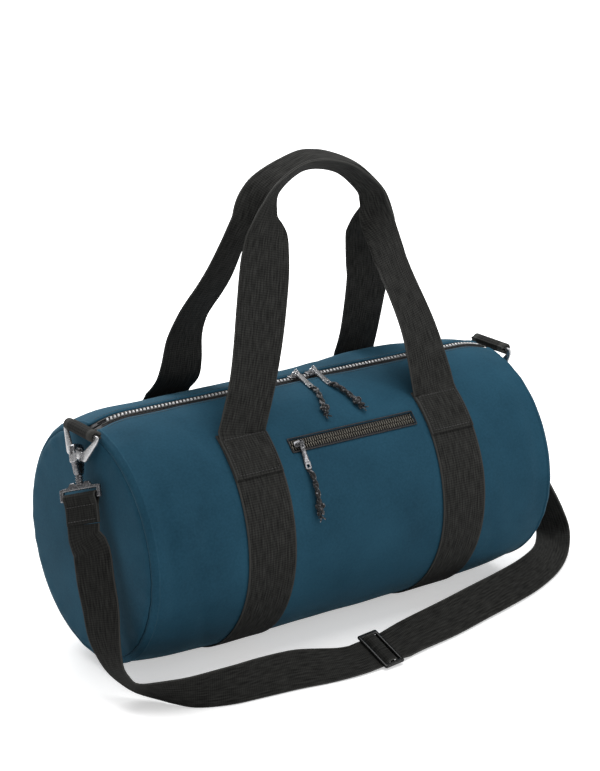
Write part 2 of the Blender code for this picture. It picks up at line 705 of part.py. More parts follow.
def make_main_zip():
    """Two tapes under the barrel's edges, each with its row of teeth."""
    tape_stop = PANEL_INNER_FACE - GAP
    xs = lines_between(LENGTH_LINES, -tape_stop, tape_stop)
    sizes = (TOOTH_TIP, TOOTH_ROOT, BEAD_EDGE, TOOTH_WIDTH, TOOTH_PITCH, TOOTH_HEIGHT)
    edge_front = angle_at_reach(TAPE_EDGE - ZIP_Y)
    edge_back = FULL_TURN + angle_at_reach(-TAPE_EDGE - ZIP_Y)
    for face, label in ((FRONT, "front"), (BACK, "back")):
        angles = (edge_front, SLOT_FRONT_ANGLE, TAPE_FRONT_ANGLE)
        if face == BACK:
            angles = (TAPE_BACK_ANGLE, FULL_TURN + SLOT_BACK_ANGLE, edge_back)
        cloth_patch("zip_tape_" + label, xs, angles, TAPE_BOTTOM, TAPE_THICKNESS,
                    black_tape("zip_cloth_" + label))
        comb("zip_teeth_" + label, ZIP_START, ZIP_END, face, sizes, main_zip_place,
             bright_teeth("zip_metal_" + label))


def pocket_frame_matrix(x):
    """Frame on the pocket zip: X along it, Y up the cloth and Z out of the cloth."""
    origin = barrel_point(x, POCKET_ANGLE)
    outward = (barrel_point(x, POCKET_ANGLE, GAP) - origin).normalized()
    along = Vector((1.0, 0.0, 0.0))
    matrix = Matrix((along, outward.cross(along), outward)).transposed().to_4x4()
    matrix.translation = origin
    return matrix


def pocket_zip_place(x, y, height):
    """Place on the pocket's zip: y up the cloth from its middle line, height from the teeth's back."""
    return pocket_frame_matrix(x) @ Vector((0.0, y, TEETH_BOTTOM + height))


def make_pocket():
    """Slip pocket: binding round the slit, zip tapes and teeth, and the pocket's own bag inside."""
    frame_left = POCKET_LEFT - POCKET_FRAME
    frame_right = POCKET_RIGHT + POCKET_FRAME
    frame_step = angle_step(POCKET_FRAME)
    xs = [frame_left, POCKET_LEFT, POCKET_RIGHT, frame_right]
    angles = lines_between(GIRTH_LINES, POCKET_TOP_ANGLE - frame_step, POCKET_LOW_ANGLE + frame_step)
    hole = (1, 2, angles.index(POCKET_TOP_ANGLE), angles.index(POCKET_LOW_ANGLE))
    cloth_patch("pocket_frame", xs, angles, GAP, POCKET_FRAME_THICKNESS, black_tape("pocket_binding"), hole)
    slit = angle_step(TAPE_EDGE)
    xs = [POCKET_LEFT - POCKET_TAPE_OVERLAP, POCKET_RIGHT + POCKET_TAPE_OVERLAP]
    sizes = (TOOTH_TIP, POCKET_TOOTH_ROOT, POCKET_BEAD_EDGE, POCKET_TOOTH_WIDTH, POCKET_TOOTH_PITCH,
             POCKET_TOOTH_HEIGHT)
    for side, label in ((-1, "upper"), (1, "lower")):
        angles = [POCKET_ANGLE + side * slit, POCKET_LOW_ANGLE, POCKET_LOW_ANGLE + POCKET_OVERLAP_ANGLE]
        if side < 0:
            angles = [POCKET_TOP_ANGLE - POCKET_OVERLAP_ANGLE, POCKET_TOP_ANGLE, POCKET_ANGLE + side * slit]
        cloth_patch("pocket_tape_" + label, xs, angles, TAPE_BOTTOM, TAPE_THICKNESS,
                    black_tape("pocket_cloth_" + label))
        comb("pocket_teeth_" + label, POCKET_LEFT, POCKET_RIGHT, side, sizes, pocket_zip_place,
             make_material("pocket_metal_" + label, (0.05, 0.05, 0.06), 0.4, 0.5))
    make_pocket_bag()


def make_pocket_bag():
    """Lining folded once behind the slit and open at its sides, which are sewn."""
    front = TAPE_BOTTOM - GAP - POCKET_LINING
    depth = front - POCKET_BAG_SPACE
    low = POCKET_LOW_ANGLE + POCKET_OVERLAP_ANGLE
    foot = low + angle_step(POCKET_BAG_DEPTH)
    path = [(low + angle_step(GAP), front)]
    path += [(angle, front) for angle in spread(low, foot, 4)[1:]]
    path += [(foot + angle_step(POCKET_BAG_SPACE / 2), (front + depth) / 2)]
    path += [(angle, depth) for angle in spread(foot, POCKET_ANGLE, 6)]
    path += [(POCKET_TOP_ANGLE - POCKET_OVERLAP_ANGLE - angle_step(GAP), front)]
    rows = [POCKET_LEFT - POCKET_TAPE_OVERLAP, POCKET_RIGHT + POCKET_TAPE_OVERLAP]
    vertices = [barrel_point(x, angle, offset) for x in rows for angle, offset in path]
    count = len(path)
    faces = [(index, index + 1, index + count + 1, index + count) for index in range(count - 1)]
    mesh = bpy.data.meshes.new("pocket_bag")
    mesh.from_pydata([tuple(vertex) for vertex in vertices], [], faces)
    mesh.shade_smooth()
    pouch = link_object(bpy.data.objects.new("pocket_bag", mesh), black_tape("pocket_lining"))
    solidify = pouch.modifiers.new("thickness", "SOLIDIFY")
    solidify.thickness = POCKET_LINING
    solidify.offset = 0.0


# Sliders, links, tabs and cords


def box_mesh(name, size, centre, material, bevel=0.0):
    """Box made from the cube primitive, with its size applied."""
    mesh = bpy.data.meshes.new(name)
    work = bmesh.new()
    bmesh.ops.create_cube(work, size=1.0)
    bmesh.ops.scale(work, vec=size, verts=work.verts)
    if bevel:
        bmesh.ops.bevel(work, geom=work.edges[:], offset=bevel, segments=2, affect="EDGES", profile=0.5)
    bmesh.ops.translate(work, vec=centre, verts=work.verts)
    work.to_mesh(mesh)
    work.free()
    return link_object(bpy.data.objects.new(name, mesh), material)


def outline_solid(name, loops, thickness, material, matrix):
    """Flat plate from closed outlines: the first is its edge and the others are holes."""
    curve = bpy.data.curves.new(name, "CURVE")
    curve.dimensions = "2D"
    curve.fill_mode = "BOTH"
    curve.extrude = thickness / 2
    for points in loops:
        spline = curve.splines.new("POLY")
        spline.points.add(len(points) - 1)
        for point, (x, y) in zip(spline.points, points):
            point.co = (x, y, 0.0, 1.0)
        spline.use_cyclic_u = True
    plate = link_object(bpy.data.objects.new(name, curve), material)
    plate.matrix_world = matrix
    bpy.context.view_layer.update()
    return apply_modifiers(plate)


def arc(centre, radius, start, stop, count):
    """Points of an arc, angles in degrees."""
    angles = [math.radians(angle) for angle in spread(start, stop, count)]
    return [(centre[0] + radius * math.cos(angle), centre[1] + radius * math.sin(angle)) for angle in angles]


def tube(name, points, radius, material, closed=False, swells=None, resolution=2):
    """Round wire through these points, with an optional swelling at each."""
    curve = bpy.data.curves.new(name, "CURVE")
    curve.dimensions = "3D"
    curve.bevel_depth = radius
    curve.bevel_resolution = resolution
    curve.use_fill_caps = True
    spline = curve.splines.new("POLY")
    spline.points.add(len(points) - 1)
    for index, point in enumerate(points):
        spline.points[index].co = (*point, 1.0)
        if swells:
            spline.points[index].radius = swells[index]
    spline.use_cyclic_u = closed
    return link_object(bpy.data.objects.new(name, curve), material)


def make_slider(name, matrix, length, width, teeth_height):
    """Slider: two plates, the post between the rows of teeth, and the bail for the pull."""
    top = TEETH_BOTTOM + teeth_height + GAP
    crown = (width / 2 - ZIP_Y) ** 2 / BARREL_WIDTH
    bottom = TAPE_BOTTOM - GAP - crown
    material = dark_metal(name + "_metal")
    waist = width * SLIDER_WAIST_SHARE
    outline = [(-length / 2, -waist / 2), (0.0, -width / 2), (length / 2, -width / 2),
               (length / 2, width / 2), (0.0, width / 2), (-length / 2, waist / 2)]
    upper = outline_solid(name, [outline], SLIDER_PLATE, material,
                          matrix @ Matrix.Translation((0.0, 0.0, top + SLIDER_PLATE / 2)))
    lower = outline_solid(name + "_lower", [outline], SLIDER_PLATE, material,
                          matrix @ Matrix.Translation((0.0, 0.0, bottom - SLIDER_PLATE / 2)))
    post_height = top - bottom + SLIDER_PLATE
    post = box_mesh(name + "_post", (length / 3, SLIDER_POST, post_height),
                    (length / 6, 0.0, (top + bottom) / 2), material)
    post.matrix_world = matrix
    bail_points = bail_outline(top + SLIDER_PLATE)
    bail = tube(name + "_bail", [matrix @ Vector(point) for point in bail_points], BAIL_WIRE, material)
    bail = apply_modifiers(bail)
    for piece in (lower, post, bail):
        join_solid(upper, piece, "UNION")
    return upper


def bail_outline(plate_top):
    """Wire arch over the slider, with its feet sunk into the plate."""
    half = BAIL_LENGTH / 2
    foot = plate_top - SLIDER_PLATE / 2
    high = plate_top + BAIL_RISE
    shoulder = half - BAIL_RISE / 3
    return [(-half, 0.0, foot), (-half, 0.0, high - BAIL_RISE / 3), (-shoulder, 0.0, high),
            (shoulder, 0.0, high), (half, 0.0, high - BAIL_RISE / 3), (half, 0.0, foot)]


def make_pull(label, matrix, teeth_height, tab_length, cord_reach, cord_lean):
    """Link ring on the bail, pull tab and knotted cord, lying down the cloth and hinged on the bail."""
    bar_height = TEETH_BOTTOM + teeth_height + GAP + SLIDER_PLATE + BAIL_RISE
    pivot = matrix @ Vector((0.0, 0.0, bar_height))
    link_centre = -(LINK_RADIUS - LINK_WIRE - BAIL_WIRE - GAP)
    turn = matrix.to_3x3().to_4x4()
    local = Matrix.Translation(pivot) @ turn
    ring_points = []
    for index in range(16):
        angle = FULL_TURN * index / 16
        ring_points.append(local @ Vector((0.0, link_centre + LINK_RADIUS * math.cos(angle),
                                           LINK_RADIUS * math.sin(angle))))
    link = tube(label + "_link", ring_points, LINK_WIRE, dark_metal(label + "_link_metal"), closed=True)
    hole_y = link_centre - LINK_RADIUS
    near = TAB_WIDTH * TAB_NEAR_SHARE
    far_y = hole_y - tab_length
    top_arc = arc((0.0, hole_y), near, 20, 160, 8)
    low_arc = arc((0.0, far_y + TAB_WIDTH / 2), TAB_WIDTH / 2, 180, 360, 8)
    holes = [arc((0.0, hole_y), TAB_HOLE, 0, 330, 11),
             arc((0.0, far_y + TAB_WIDTH / 2), TAB_WIDTH / 4, 0, 330, 11)]
    tab = outline_solid(label + "_tab", [top_arc + low_arc] + holes, TAB_THICKNESS,
                        dark_metal(label + "_tab_metal"), local)
    lean = tab_lean(matrix, pivot, -far_y)
    rotation = turn @ Matrix.Rotation(lean, 4, "X") @ turn.inverted()
    parent_to_axis([link, tab], label + "_axis", pivot, rotation.to_quaternion())
    cord = make_cord_pull(label, matrix, pivot, rotation @ (local.to_3x3() @ Vector((0.0, 1.0, 0.0))),
                          -far_y, cord_reach, cord_lean)
    bpy.context.view_layer.update()
    empty = bpy.data.objects[label + "_axis"]
    cord.parent = empty
    cord.matrix_parent_inverse = empty.matrix_world.inverted()


def cloth_distance(point):
    """Height of a point above the barrel's cloth, along the section's radius."""
    half_width, centre, above, below = section(point.x)
    height = above if point.z >= centre else below
    scale = math.hypot(point.y / half_width, (point.z - centre) / height)
    return (scale - 1.0) * min(half_width, height)


def tab_lean(matrix, pivot, reach):
    """Angle by which a tab leans down until its end lies just above the cloth."""
    across = matrix.to_3x3() @ Vector((0.0, -1.0, 0.0))
    outward = matrix.to_3x3() @ Vector((0.0, 0.0, 1.0))
    lean = 0.0
    step = math.radians(0.5)
    while lean < math.pi / 3:
        end = pivot + (across * math.cos(lean + step) - outward * math.sin(lean + step)) * reach
        if cloth_distance(end) < TAB_THICKNESS / 2 + TAB_CLEARANCE:
            break
        lean += step
    return lean


def make_cord_pull(label, matrix, pivot, towards_slider, reach, cord_reach, cord_lean):
    """Doubled cord from the tab's end to a knot, lying on the cloth."""
    start = pivot - towards_slider * (reach + GAP)
    start_angle = math.atan2(-start.y / (BARREL_WIDTH / 2), (start.z - section(start.x)[1]) / section(start.x)[2])
    points = []
    start_height = cloth_distance(start)
    length = cord_reach - reach
    for share, swell in zip(CORD_PLACE_SHARES, CORD_SWELL_SHARES):
        rest = CORD_RADIUS * swell + TAB_CLEARANCE
        height = max(start_height * (1 - share), rest) if share else start_height
        angle = start_angle + angle_step(length * share)
        points.append(barrel_point(start.x + cord_lean * share, angle, height))
    return tube(label + "_cord", points, CORD_RADIUS, black_tape(label + "_cord_fibre"),
                swells=CORD_SWELL_SHARES, resolution=2)


def main_slider_matrix(x):
    """Frame on the main zip at x."""
    return Matrix.Translation((x, ZIP_Y, BARREL_TOP - top_drop(x)))


def make_sliders():
    """Two sliders head to head on the main zip and one on the pocket."""
    for side, label, lean in ((LEFT, "left", CORD_LEFT_LEAN), (RIGHT, "right", CORD_RIGHT_LEAN)):
        matrix = main_slider_matrix(SLIDER_MIDDLE + side * SLIDER_SPACING / 2)
        turned = matrix @ Matrix.Rotation(math.pi if side > 0 else 0.0, 4, "Z")
        make_slider("slider_" + label, turned, SLIDER_LENGTH, SLIDER_WIDTH, TOOTH_HEIGHT)
        make_pull("pull_" + label, matrix, TOOTH_HEIGHT, TAB_LENGTH, MAIN_CORD_REACH, lean)
    matrix = pocket_frame_matrix(POCKET_SLIDER_X)
    make_slider("slider_pocket", matrix, POCKET_SLIDER_LENGTH, POCKET_SLIDER_WIDTH, POCKET_TOOTH_HEIGHT)
    make_pull("pull_pocket", matrix, POCKET_TOOTH_HEIGHT, POCKET_TAB_LENGTH, POCKET_CORD_REACH, CORD_POCKET_LEAN)


# Rings, hooks and sewn loops


def basis(across, up, place):
    """Matrix whose X runs across, whose Y runs up and whose Z is their normal."""
    y_axis = Vector(up).normalized()
    z_axis = Vector(across).cross(y_axis).normalized()
    x_axis = y_axis.cross(z_axis)
    matrix = Matrix((x_axis, y_axis, z_axis)).transposed().to_4x4()
    matrix.translation = place
    return matrix


def webbing_loop(name, matrix, bore, length, tail, material):
    """Webbing folded round a bar that lies along the frame's Z, with its tail along the frame's -Y."""
    outer = bore + WEBBING
    neck = math.degrees(math.asin(WEBBING / outer))
    edge = arc((0.0, 0.0), outer, -90 + neck, 270 - neck, 22)
    edge += [(-WEBBING, -tail), (WEBBING, -tail)]
    hole = arc((0.0, 0.0), bore, 0, 345, 23)
    return outline_solid(name, [edge, hole], length, material, matrix)


def ring_axis(side):
    """Centre of the ring's top bar."""
    x = side * (HALF_LENGTH + RING_STANDOFF)
    return Vector((x, ZIP_Y, BARREL_TOP - END_DROP + LOOP_HEIGHT_DROP))


def ring_down(side):
    """Direction in which a ring hangs at rest."""
    return Vector((side * math.sin(RING_LEAN), 0.0, -math.cos(RING_LEAN)))


def make_ring(side, label):
    """Flat ring with a narrow foot, hanging in its webbing loop."""
    axis = ring_axis(side)
    top = RING_BAR / 2
    low = -RING_DROP
    corner = RING_SIDE / 2
    edge = [(-RING_WIDTH / 2 + corner, top), (RING_WIDTH / 2 - corner, top), (RING_WIDTH / 2, top - corner),
            (RING_WIDTH / 2, -RING_SHOULDER), (RING_LOW_WIDTH / 2, low + corner), (RING_LOW_WIDTH / 2 - corner, low),
            (-RING_LOW_WIDTH / 2 + corner, low), (-RING_LOW_WIDTH / 2, low + corner),
            (-RING_WIDTH / 2, -RING_SHOULDER), (-RING_WIDTH / 2, top - corner)]
    inner_top = RING_WIDTH / 2 - RING_SIDE
    inner_low = RING_LOW_WIDTH / 2 - RING_SIDE
    foot = low + RING_FOOT
    hole = [(-inner_top, -top), (-inner_top, -RING_SHOULDER), (-inner_low, foot), (inner_low, foot),
            (inner_top, -RING_SHOULDER), (inner_top, -top)]
    matrix = basis((0.0, 1.0, 0.0), -ring_down(side), axis)
    ring = outline_solid("ring_" + label, [edge, hole], RING_THICKNESS, dark_metal("ring_metal_" + label), matrix)
    parent_to_axis([ring], "ring_axis_" + label, axis)
    bore = math.hypot(RING_BAR / 2, RING_THICKNESS / 2) + GAP
    tail = RING_STANDOFF - LOOP_CLEARANCE
    loop_matrix = basis((0.0, 0.0, 1.0), (side, 0.0, 0.0), axis)
    webbing_loop("ring_loop_" + label, loop_matrix, bore, LOOP_LENGTH, tail, webbing("loop_webbing_" + label))


def ring_foot(side):
    """Centre of the ring's foot bar, which the hook hangs on."""
    return ring_axis(side) + ring_down(side) * (RING_DROP - RING_FOOT / 2)


def hook_frame(side, direction, bar_direction):
    """Frame at the hook's strap bar: Y up the hook, X across the bar, Z along the bar."""
    down = Vector(direction).normalized()
    bar_centre = ring_foot(side) + down * HOOK_REACH
    along_bar = Vector(bar_direction)
    return basis(along_bar, -down, bar_centre)


def make_hook(side, label, direction, bar_direction):
    """Snap hook: eye with its sprung gate, stem, ribbed collar and strap base."""
    frame = hook_frame(side, direction, bar_direction)
    up = frame.to_3x3() @ Vector((0.0, 1.0, 0.0))
    material = dark_metal("hook_metal_" + label)
    eye_centre = HOOK_REACH - HOOK_SEAT
    half_length = HOOK_EYE_LENGTH / 2
    half_width = HOOK_EYE_WIDTH / 2
    straight = half_length - half_width
    outer = half_width + HOOK_WALL
    eye_low = eye_centre - half_length
    body = arc((0.0, eye_centre + straight), outer, 0, 180, 12)
    body += [(-outer, eye_low), (-HOOK_NECK / 2, COLLAR_TOP + GAP), (HOOK_NECK / 2, COLLAR_TOP + GAP),
             (outer, eye_low)]
    hole = arc((0.0, eye_centre + straight), half_width, 0, 180, 12)
    hole += arc((0.0, eye_centre - straight), half_width, 180, 360, 12)
    eye_matrix = hook_eye_matrix(frame)
    hook = outline_solid("hook_" + label, [body, hole], HOOK_WIDTH, material, eye_matrix)
    gate_low = eye_centre - GATE_LENGTH / 2
    gate_middle = side * (half_width + HOOK_WALL / 2)
    cutter = box_mesh("gate_gap_" + label, (HOOK_WALL * 2, GATE_LENGTH, HOOK_WIDTH * 2),
                      (gate_middle + side * HOOK_WALL / 4, eye_centre, 0.0), material)
    cutter.matrix_world = eye_matrix
    bpy.context.view_layer.update()
    join_solid(hook, cutter, "DIFFERENCE")
    gate = box_mesh("gate_" + label, (GATE_THICKNESS, GATE_LENGTH - 2 * GAP, HOOK_WIDTH - 2 * GAP),
                    (gate_middle, eye_centre, 0.0), dark_metal("gate_metal_" + label), GATE_THICKNESS / 6)
    gate.matrix_world = eye_matrix
    bpy.context.view_layer.update()
    stem_length = COLLAR_BORE_DEPTH
    stem = turned("stem_" + label, [(STEM_RADIUS, COLLAR_TOP + HOOK_WALL / 2),
                                    (STEM_RADIUS, COLLAR_TOP - stem_length + GAP)], material, frame)
    join_solid(hook, stem, "UNION")
    gate_pivot = eye_matrix @ Vector((gate_middle, gate_low + GAP, 0.0))
    parent_to_axis([gate], "gate_axis_" + label, gate_pivot)
    parent_to_axis([hook], "hook_axis_" + label, ring_foot(side))
    make_hook_base(label, frame, up)


def hook_eye_matrix(frame):
    """The eye's plane stands square to the strap bar: its X runs across and its Z along the bar."""
    return frame @ Matrix.Rotation(math.pi / 2, 4, "Y")


def turned(name, profile, material, frame):
    """Turned solid about the frame's Y axis, from (radius, height) pairs, top to bottom."""
    outline = [(0.0, profile[0][1])] + list(profile) + [(0.0, profile[-1][1])]
    mesh = bpy.data.meshes.new(name)
    mesh.from_pydata([(radius, height, 0.0) for radius, height in outline],
                     [(index, index + 1) for index in range(len(outline) - 1)], [])
    solid = link_object(bpy.data.objects.new(name, mesh), material)
    screw = solid.modifiers.new("turning", "SCREW")
    screw.axis = "Y"
    screw.steps = TURNED_SIDES
    screw.render_steps = TURNED_SIDES
    screw.use_merge_vertices = True
    screw.merge_threshold = GAP / 100
    solid.matrix_world = frame
    bpy.context.view_layer.update()
    return apply_modifiers(solid)


def make_hook_base(label, frame, up):
    """Strap base with stepped shoulders, a slot for the webbing and a ribbed collar on top."""
    half = BASE_WIDTH / 2
    bar = BASE_BAR / 2
    inner = STRAP_WIDTH / 2 + STRAP_CLEARANCE
    slot_top = bar + BASE_SLOT
    step_in = half * BASE_STEP_SHARE
    centre = COLLAR_RADIUS
    edge = [(-half, -bar), (half, -bar), (half, BASE_SHOULDER), (step_in, BASE_SHOULDER + BASE_NOTCH / 2),
            (step_in - BASE_NOTCH, BASE_HEIGHT), (centre + BASE_NOTCH, BASE_HEIGHT),
            (centre, BASE_HEIGHT - BASE_NOTCH), (-centre, BASE_HEIGHT - BASE_NOTCH),
            (-centre - BASE_NOTCH, BASE_HEIGHT), (-step_in + BASE_NOTCH, BASE_HEIGHT),
            (-step_in, BASE_SHOULDER + BASE_NOTCH / 2), (-half, BASE_SHOULDER)]
    hole = [(-inner, bar), (-inner, slot_top), (inner, slot_top), (inner, bar)]
    material = dark_metal("base_metal_" + label)
    base = outline_solid("hook_base_" + label, [edge, hole], BASE_THICKNESS, material, frame)
    collar_low = BASE_HEIGHT - BASE_NOTCH - COLLAR_RIB
    profile = []
    rise = (COLLAR_TOP - collar_low) / COLLAR_RIBS
    for index in range(COLLAR_RIBS):
        high = COLLAR_TOP - index * rise
        profile += [(COLLAR_RADIUS, high), (COLLAR_RADIUS, high - rise * RIB_CREST_SHARE),
                    (COLLAR_RADIUS - COLLAR_RIB, high - rise * RIB_SLOPE_SHARE),
                    (COLLAR_RADIUS - COLLAR_RIB, high - rise * RIB_GROOVE_SHARE)]
    profile.append((COLLAR_RADIUS - COLLAR_RIB, collar_low))
    collar = turned(label + "_collar", profile, material, frame)
    join_solid(base, collar, "UNION")
    bore = turned(label + "_bore", [(STEM_RADIUS + GAP, COLLAR_TOP + COLLAR_RIB),
                                    (STEM_RADIUS + GAP, COLLAR_TOP - COLLAR_BORE_DEPTH)], material, frame)
    join_solid(base, bore, "DIFFERENCE")
    parent_to_axis([base], "swivel_axis_" + label, frame.translation + up * COLLAR_TOP)
    loop_bore = math.hypot(BASE_BAR / 2, BASE_THICKNESS / 2) + GAP
    loop_frame = hook_eye_matrix(frame)
    loop = webbing_loop("strap_end_" + label, loop_frame, loop_bore, STRAP_WIDTH, SEWN_END_LENGTH,
                        webbing("strap_end_webbing_" + label))
    parent_to_axis([loop], "strap_end_axis_" + label, frame.translation)


def strap_start(side, direction, bar_direction):
    """First two stations of the strap at its sewn end, straight on from it."""
    frame = hook_frame(side, direction, bar_direction)
    width = frame.to_3x3() @ Vector((-side * STRAP_WIDTH, 0.0, 0.0))
    drops = (SEWN_END_LENGTH + GAP, SEWN_END_LENGTH + STRAP_STEP)
    return [(frame @ Vector((0.0, -drop, 0.0)), width) for drop in drops]


# Shoulder strap


def strap_samples():
    """Evenly stepped middles and widths along the strap's route."""
    first = strap_start(LEFT, LEFT_HOOK_DIRECTION, LEFT_BAR_DIRECTION)
    last = strap_start(RIGHT, RIGHT_HOOK_DIRECTION, RIGHT_BAR_DIRECTION)
    table = [(*centre, *width) for centre, width in (*first, *STRAP_ROUTE, *reversed(last))]
    fine = smooth_stations(table, 40 * (len(table) - 1))
    steps = np.linalg.norm(np.diff(fine[:, :3], axis=0), axis=1)
    along = np.concatenate([[0.0], np.cumsum(steps)])
    return fine, along


def at_length(fine, along, place):
    """Middle and width of the strap at this distance from its left end."""
    return np.array([np.interp(place, along, fine[:, column]) for column in range(6)])


def strap_frame(fine, along, place):
    """Frame on the strap: X across it, Y along it and Z out of its upper face."""
    here = at_length(fine, along, place)
    tangent = Vector(at_length(fine, along, place + STRAP_STEP)[:3] - at_length(fine, along, place - STRAP_STEP)[:3])
    return basis(-Vector(here[3:]), tangent, Vector(here[:3]))


def adjuster_rest(frame, under):
    """Height of the strap's middle at the adjuster when the adjuster's low corner is on the floor."""
    axes = frame.to_3x3().transposed()
    across = abs(axes[0].z) * (STRAP_WIDTH / 2 + ADJUSTER_MARGIN)
    along = abs(axes[1].z) * (ADJUSTER_LENGTH / 2 + STRAP_STEP / 4)
    return across + along + abs(axes[2].z) * max(WEBBING / 2, ADJUSTER_THICKNESS / 2 + under)


def rest_on_floor(centres, widths, thicknesses):
    """Lift each middle of the strap until its lowest corner is on or above the floor."""
    for index, (width, thickness) in enumerate(zip(widths, thicknesses)):
        before = centres[max(index - 1, 0)]
        after = centres[min(index + 1, len(centres) - 1)]
        normal = (after - before).cross(width).normalized()
        lowest = centres[index].z - abs(width.z) / 2 - abs(normal.z) * thickness / 2
        centres[index].z -= min(lowest - GAP, 0.0)


def make_strap():
    """The strap's free webbing and the adjuster that it threads."""
    fine, along = strap_samples()
    length = along[-1]
    middle = ADJUSTER_PLACE_SHARE * length
    half = ADJUSTER_LENGTH / 2
    under = -(ADJUSTER_THICKNESS / 2 + GAP + WEBBING / 2)
    bumps = ((-half - STRAP_STEP / 4, 0.0), (-half + ADJUSTER_BAR, 0.0), (-ADJUSTER_MIDDLE_BAR / 2, -2 * under),
             (ADJUSTER_MIDDLE_BAR / 2, -2 * under), (half - ADJUSTER_BAR, 0.0), (half + STRAP_STEP / 4, 0.0))
    start = STRAP_STEP / 8
    before = [0.0] + spread(start, middle - half - STRAP_STEP, int((middle - half) / STRAP_STEP))
    after = spread(middle + half + STRAP_STEP, length - start, int((length - middle - half) / STRAP_STEP))
    after.append(length)
    frame = strap_frame(fine, along, middle)
    frame.translation.z = max(frame.translation.z, adjuster_rest(frame, under))
    centres = []
    widths = []
    layers = []
    for place in before + after:
        if place == after[0]:
            for step, rise in bumps:
                centres.append(frame @ Vector((0.0, step, rise)))
                widths.append(frame.to_3x3() @ Vector((-STRAP_WIDTH, 0.0, 0.0)))
                layers.append(1)
        here = at_length(fine, along, place)
        width = Vector(here[3:]).normalized() * STRAP_WIDTH
        layers.append(1 if place < middle else 2)
        centres.append(Vector(here[:3]))
        widths.append(width)
    thicknesses = [WEBBING * count for count in layers]
    rest_on_floor(centres, widths, thicknesses)
    ribbon("shoulder_strap", centres, widths, thicknesses, webbing("strap_webbing"))
    make_adjuster(frame, under)


def make_adjuster(frame, under):
    """Flat frame with a middle bar, over which the webbing is threaded."""
    half_width = STRAP_WIDTH / 2 + ADJUSTER_MARGIN
    half = ADJUSTER_LENGTH / 2
    inner = STRAP_WIDTH / 2 + STRAP_CLEARANCE
    corner = ADJUSTER_BAR / 2
    edge = [(-half_width + corner, -half), (half_width - corner, -half), (half_width, -half + corner),
            (half_width, half - corner), (half_width - corner, half), (-half_width + corner, half),
            (-half_width, half - corner), (-half_width, -half + corner)]
    slots = []
    for side in (-1, 1):
        near = side * ADJUSTER_MIDDLE_BAR / 2
        far = side * (half - ADJUSTER_BAR)
        slots.append([(-inner, near), (inner, near), (inner, far), (-inner, far)])
    place = frame @ Matrix.Translation((0.0, 0.0, -under))
    outline_solid("strap_adjuster", [edge] + slots, ADJUSTER_THICKNESS, dark_metal("adjuster_metal"), place)


make_barrel()
for end, word in ((LEFT, "left"), (RIGHT, "right")):
    make_end_panel(end, word)
    make_seam_binding(end, word)
    make_ring(end, word)
make_bands()
make_main_zip()
make_pocket()
make_sliders()
make_handle("front_handle", FRONT_HANDLE_SHARES, FRONT, "front_handle_axis")
make_handle("back_handle", BACK_HANDLE_SHARES, BACK, "back_handle_axis")
make_hook(LEFT, "left", LEFT_HOOK_DIRECTION, LEFT_BAR_DIRECTION)
make_hook(RIGHT, "right", RIGHT_HOOK_DIRECTION, RIGHT_BAR_DIRECTION)
make_strap()
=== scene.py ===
"""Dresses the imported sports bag: woven canvas, webbing, zips, metal fittings and a shoulder strap.

Metres, +Z up. X runs along the barrel, -Y is the front, and the bag stands on z = 0.
"""

from __future__ import annotations

import logging
import math
from dataclasses import dataclass, field
from enum import Enum
from typing import Any

import bmesh
import bpy
import numpy as np
from mathutils import Matrix


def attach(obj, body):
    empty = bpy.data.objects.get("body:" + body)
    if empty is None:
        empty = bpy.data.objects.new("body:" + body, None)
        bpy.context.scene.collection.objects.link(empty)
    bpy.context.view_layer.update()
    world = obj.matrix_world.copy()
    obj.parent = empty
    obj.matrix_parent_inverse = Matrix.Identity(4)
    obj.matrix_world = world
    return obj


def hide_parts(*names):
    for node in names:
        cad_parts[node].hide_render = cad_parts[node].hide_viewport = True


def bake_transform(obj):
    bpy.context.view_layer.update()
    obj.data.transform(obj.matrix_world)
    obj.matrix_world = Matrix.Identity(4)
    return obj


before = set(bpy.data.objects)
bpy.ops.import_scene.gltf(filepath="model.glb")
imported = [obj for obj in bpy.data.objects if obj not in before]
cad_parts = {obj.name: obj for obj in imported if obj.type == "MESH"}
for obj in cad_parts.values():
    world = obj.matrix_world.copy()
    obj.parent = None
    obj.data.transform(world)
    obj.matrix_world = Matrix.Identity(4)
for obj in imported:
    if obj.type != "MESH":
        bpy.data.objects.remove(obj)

Array = np.ndarray
TURN = 2 * math.pi
LOG = logging.getLogger("sports_bag")
X_AXIS = np.array([1.0, 0.0, 0.0])
Y_AXIS = np.array([0.0, 1.0, 0.0])
Z_AXIS = np.array([0.0, 0.0, 1.0])
# Room left between neighbours, how far the zip lies towards the front, and how deep its teeth sit.
GAP = 0.0003
ZIP_Y = -0.0046
TEETH_SEAT = -0.0016


class Side(Enum):
    """Which end of the bag a piece is at, with its sign along X."""

    LEFT = -1
    RIGHT = 1

    @property
    def word(self) -> str:
        """The side's name as the CAD nodes write it."""
        return self.name.lower()


class Face(Enum):
    """Front or back of the bag, with the sign of its angle round the barrel."""

    FRONT = 1
    BACK = -1

    @property
    def word(self) -> str:
        """The face's name as the CAD nodes write it."""
        return self.name.lower()


# Numbers and meshes


def smooth_step(value: Array) -> Array:
    """Rises from 0 to 1 with flat ends: 3 t squared less 2 t cubed, after clipping t to 0..1."""
    t = np.clip(value, 0.0, 1.0)
    return t * t * (3 - 2 * t)


def unit(vectors: Array) -> Array:
    """The vectors divided by their lengths, along the last axis."""
    vectors = np.asarray(vectors, dtype=float)
    return vectors / np.maximum(np.linalg.norm(vectors, axis=-1, keepdims=True), 1e-12)


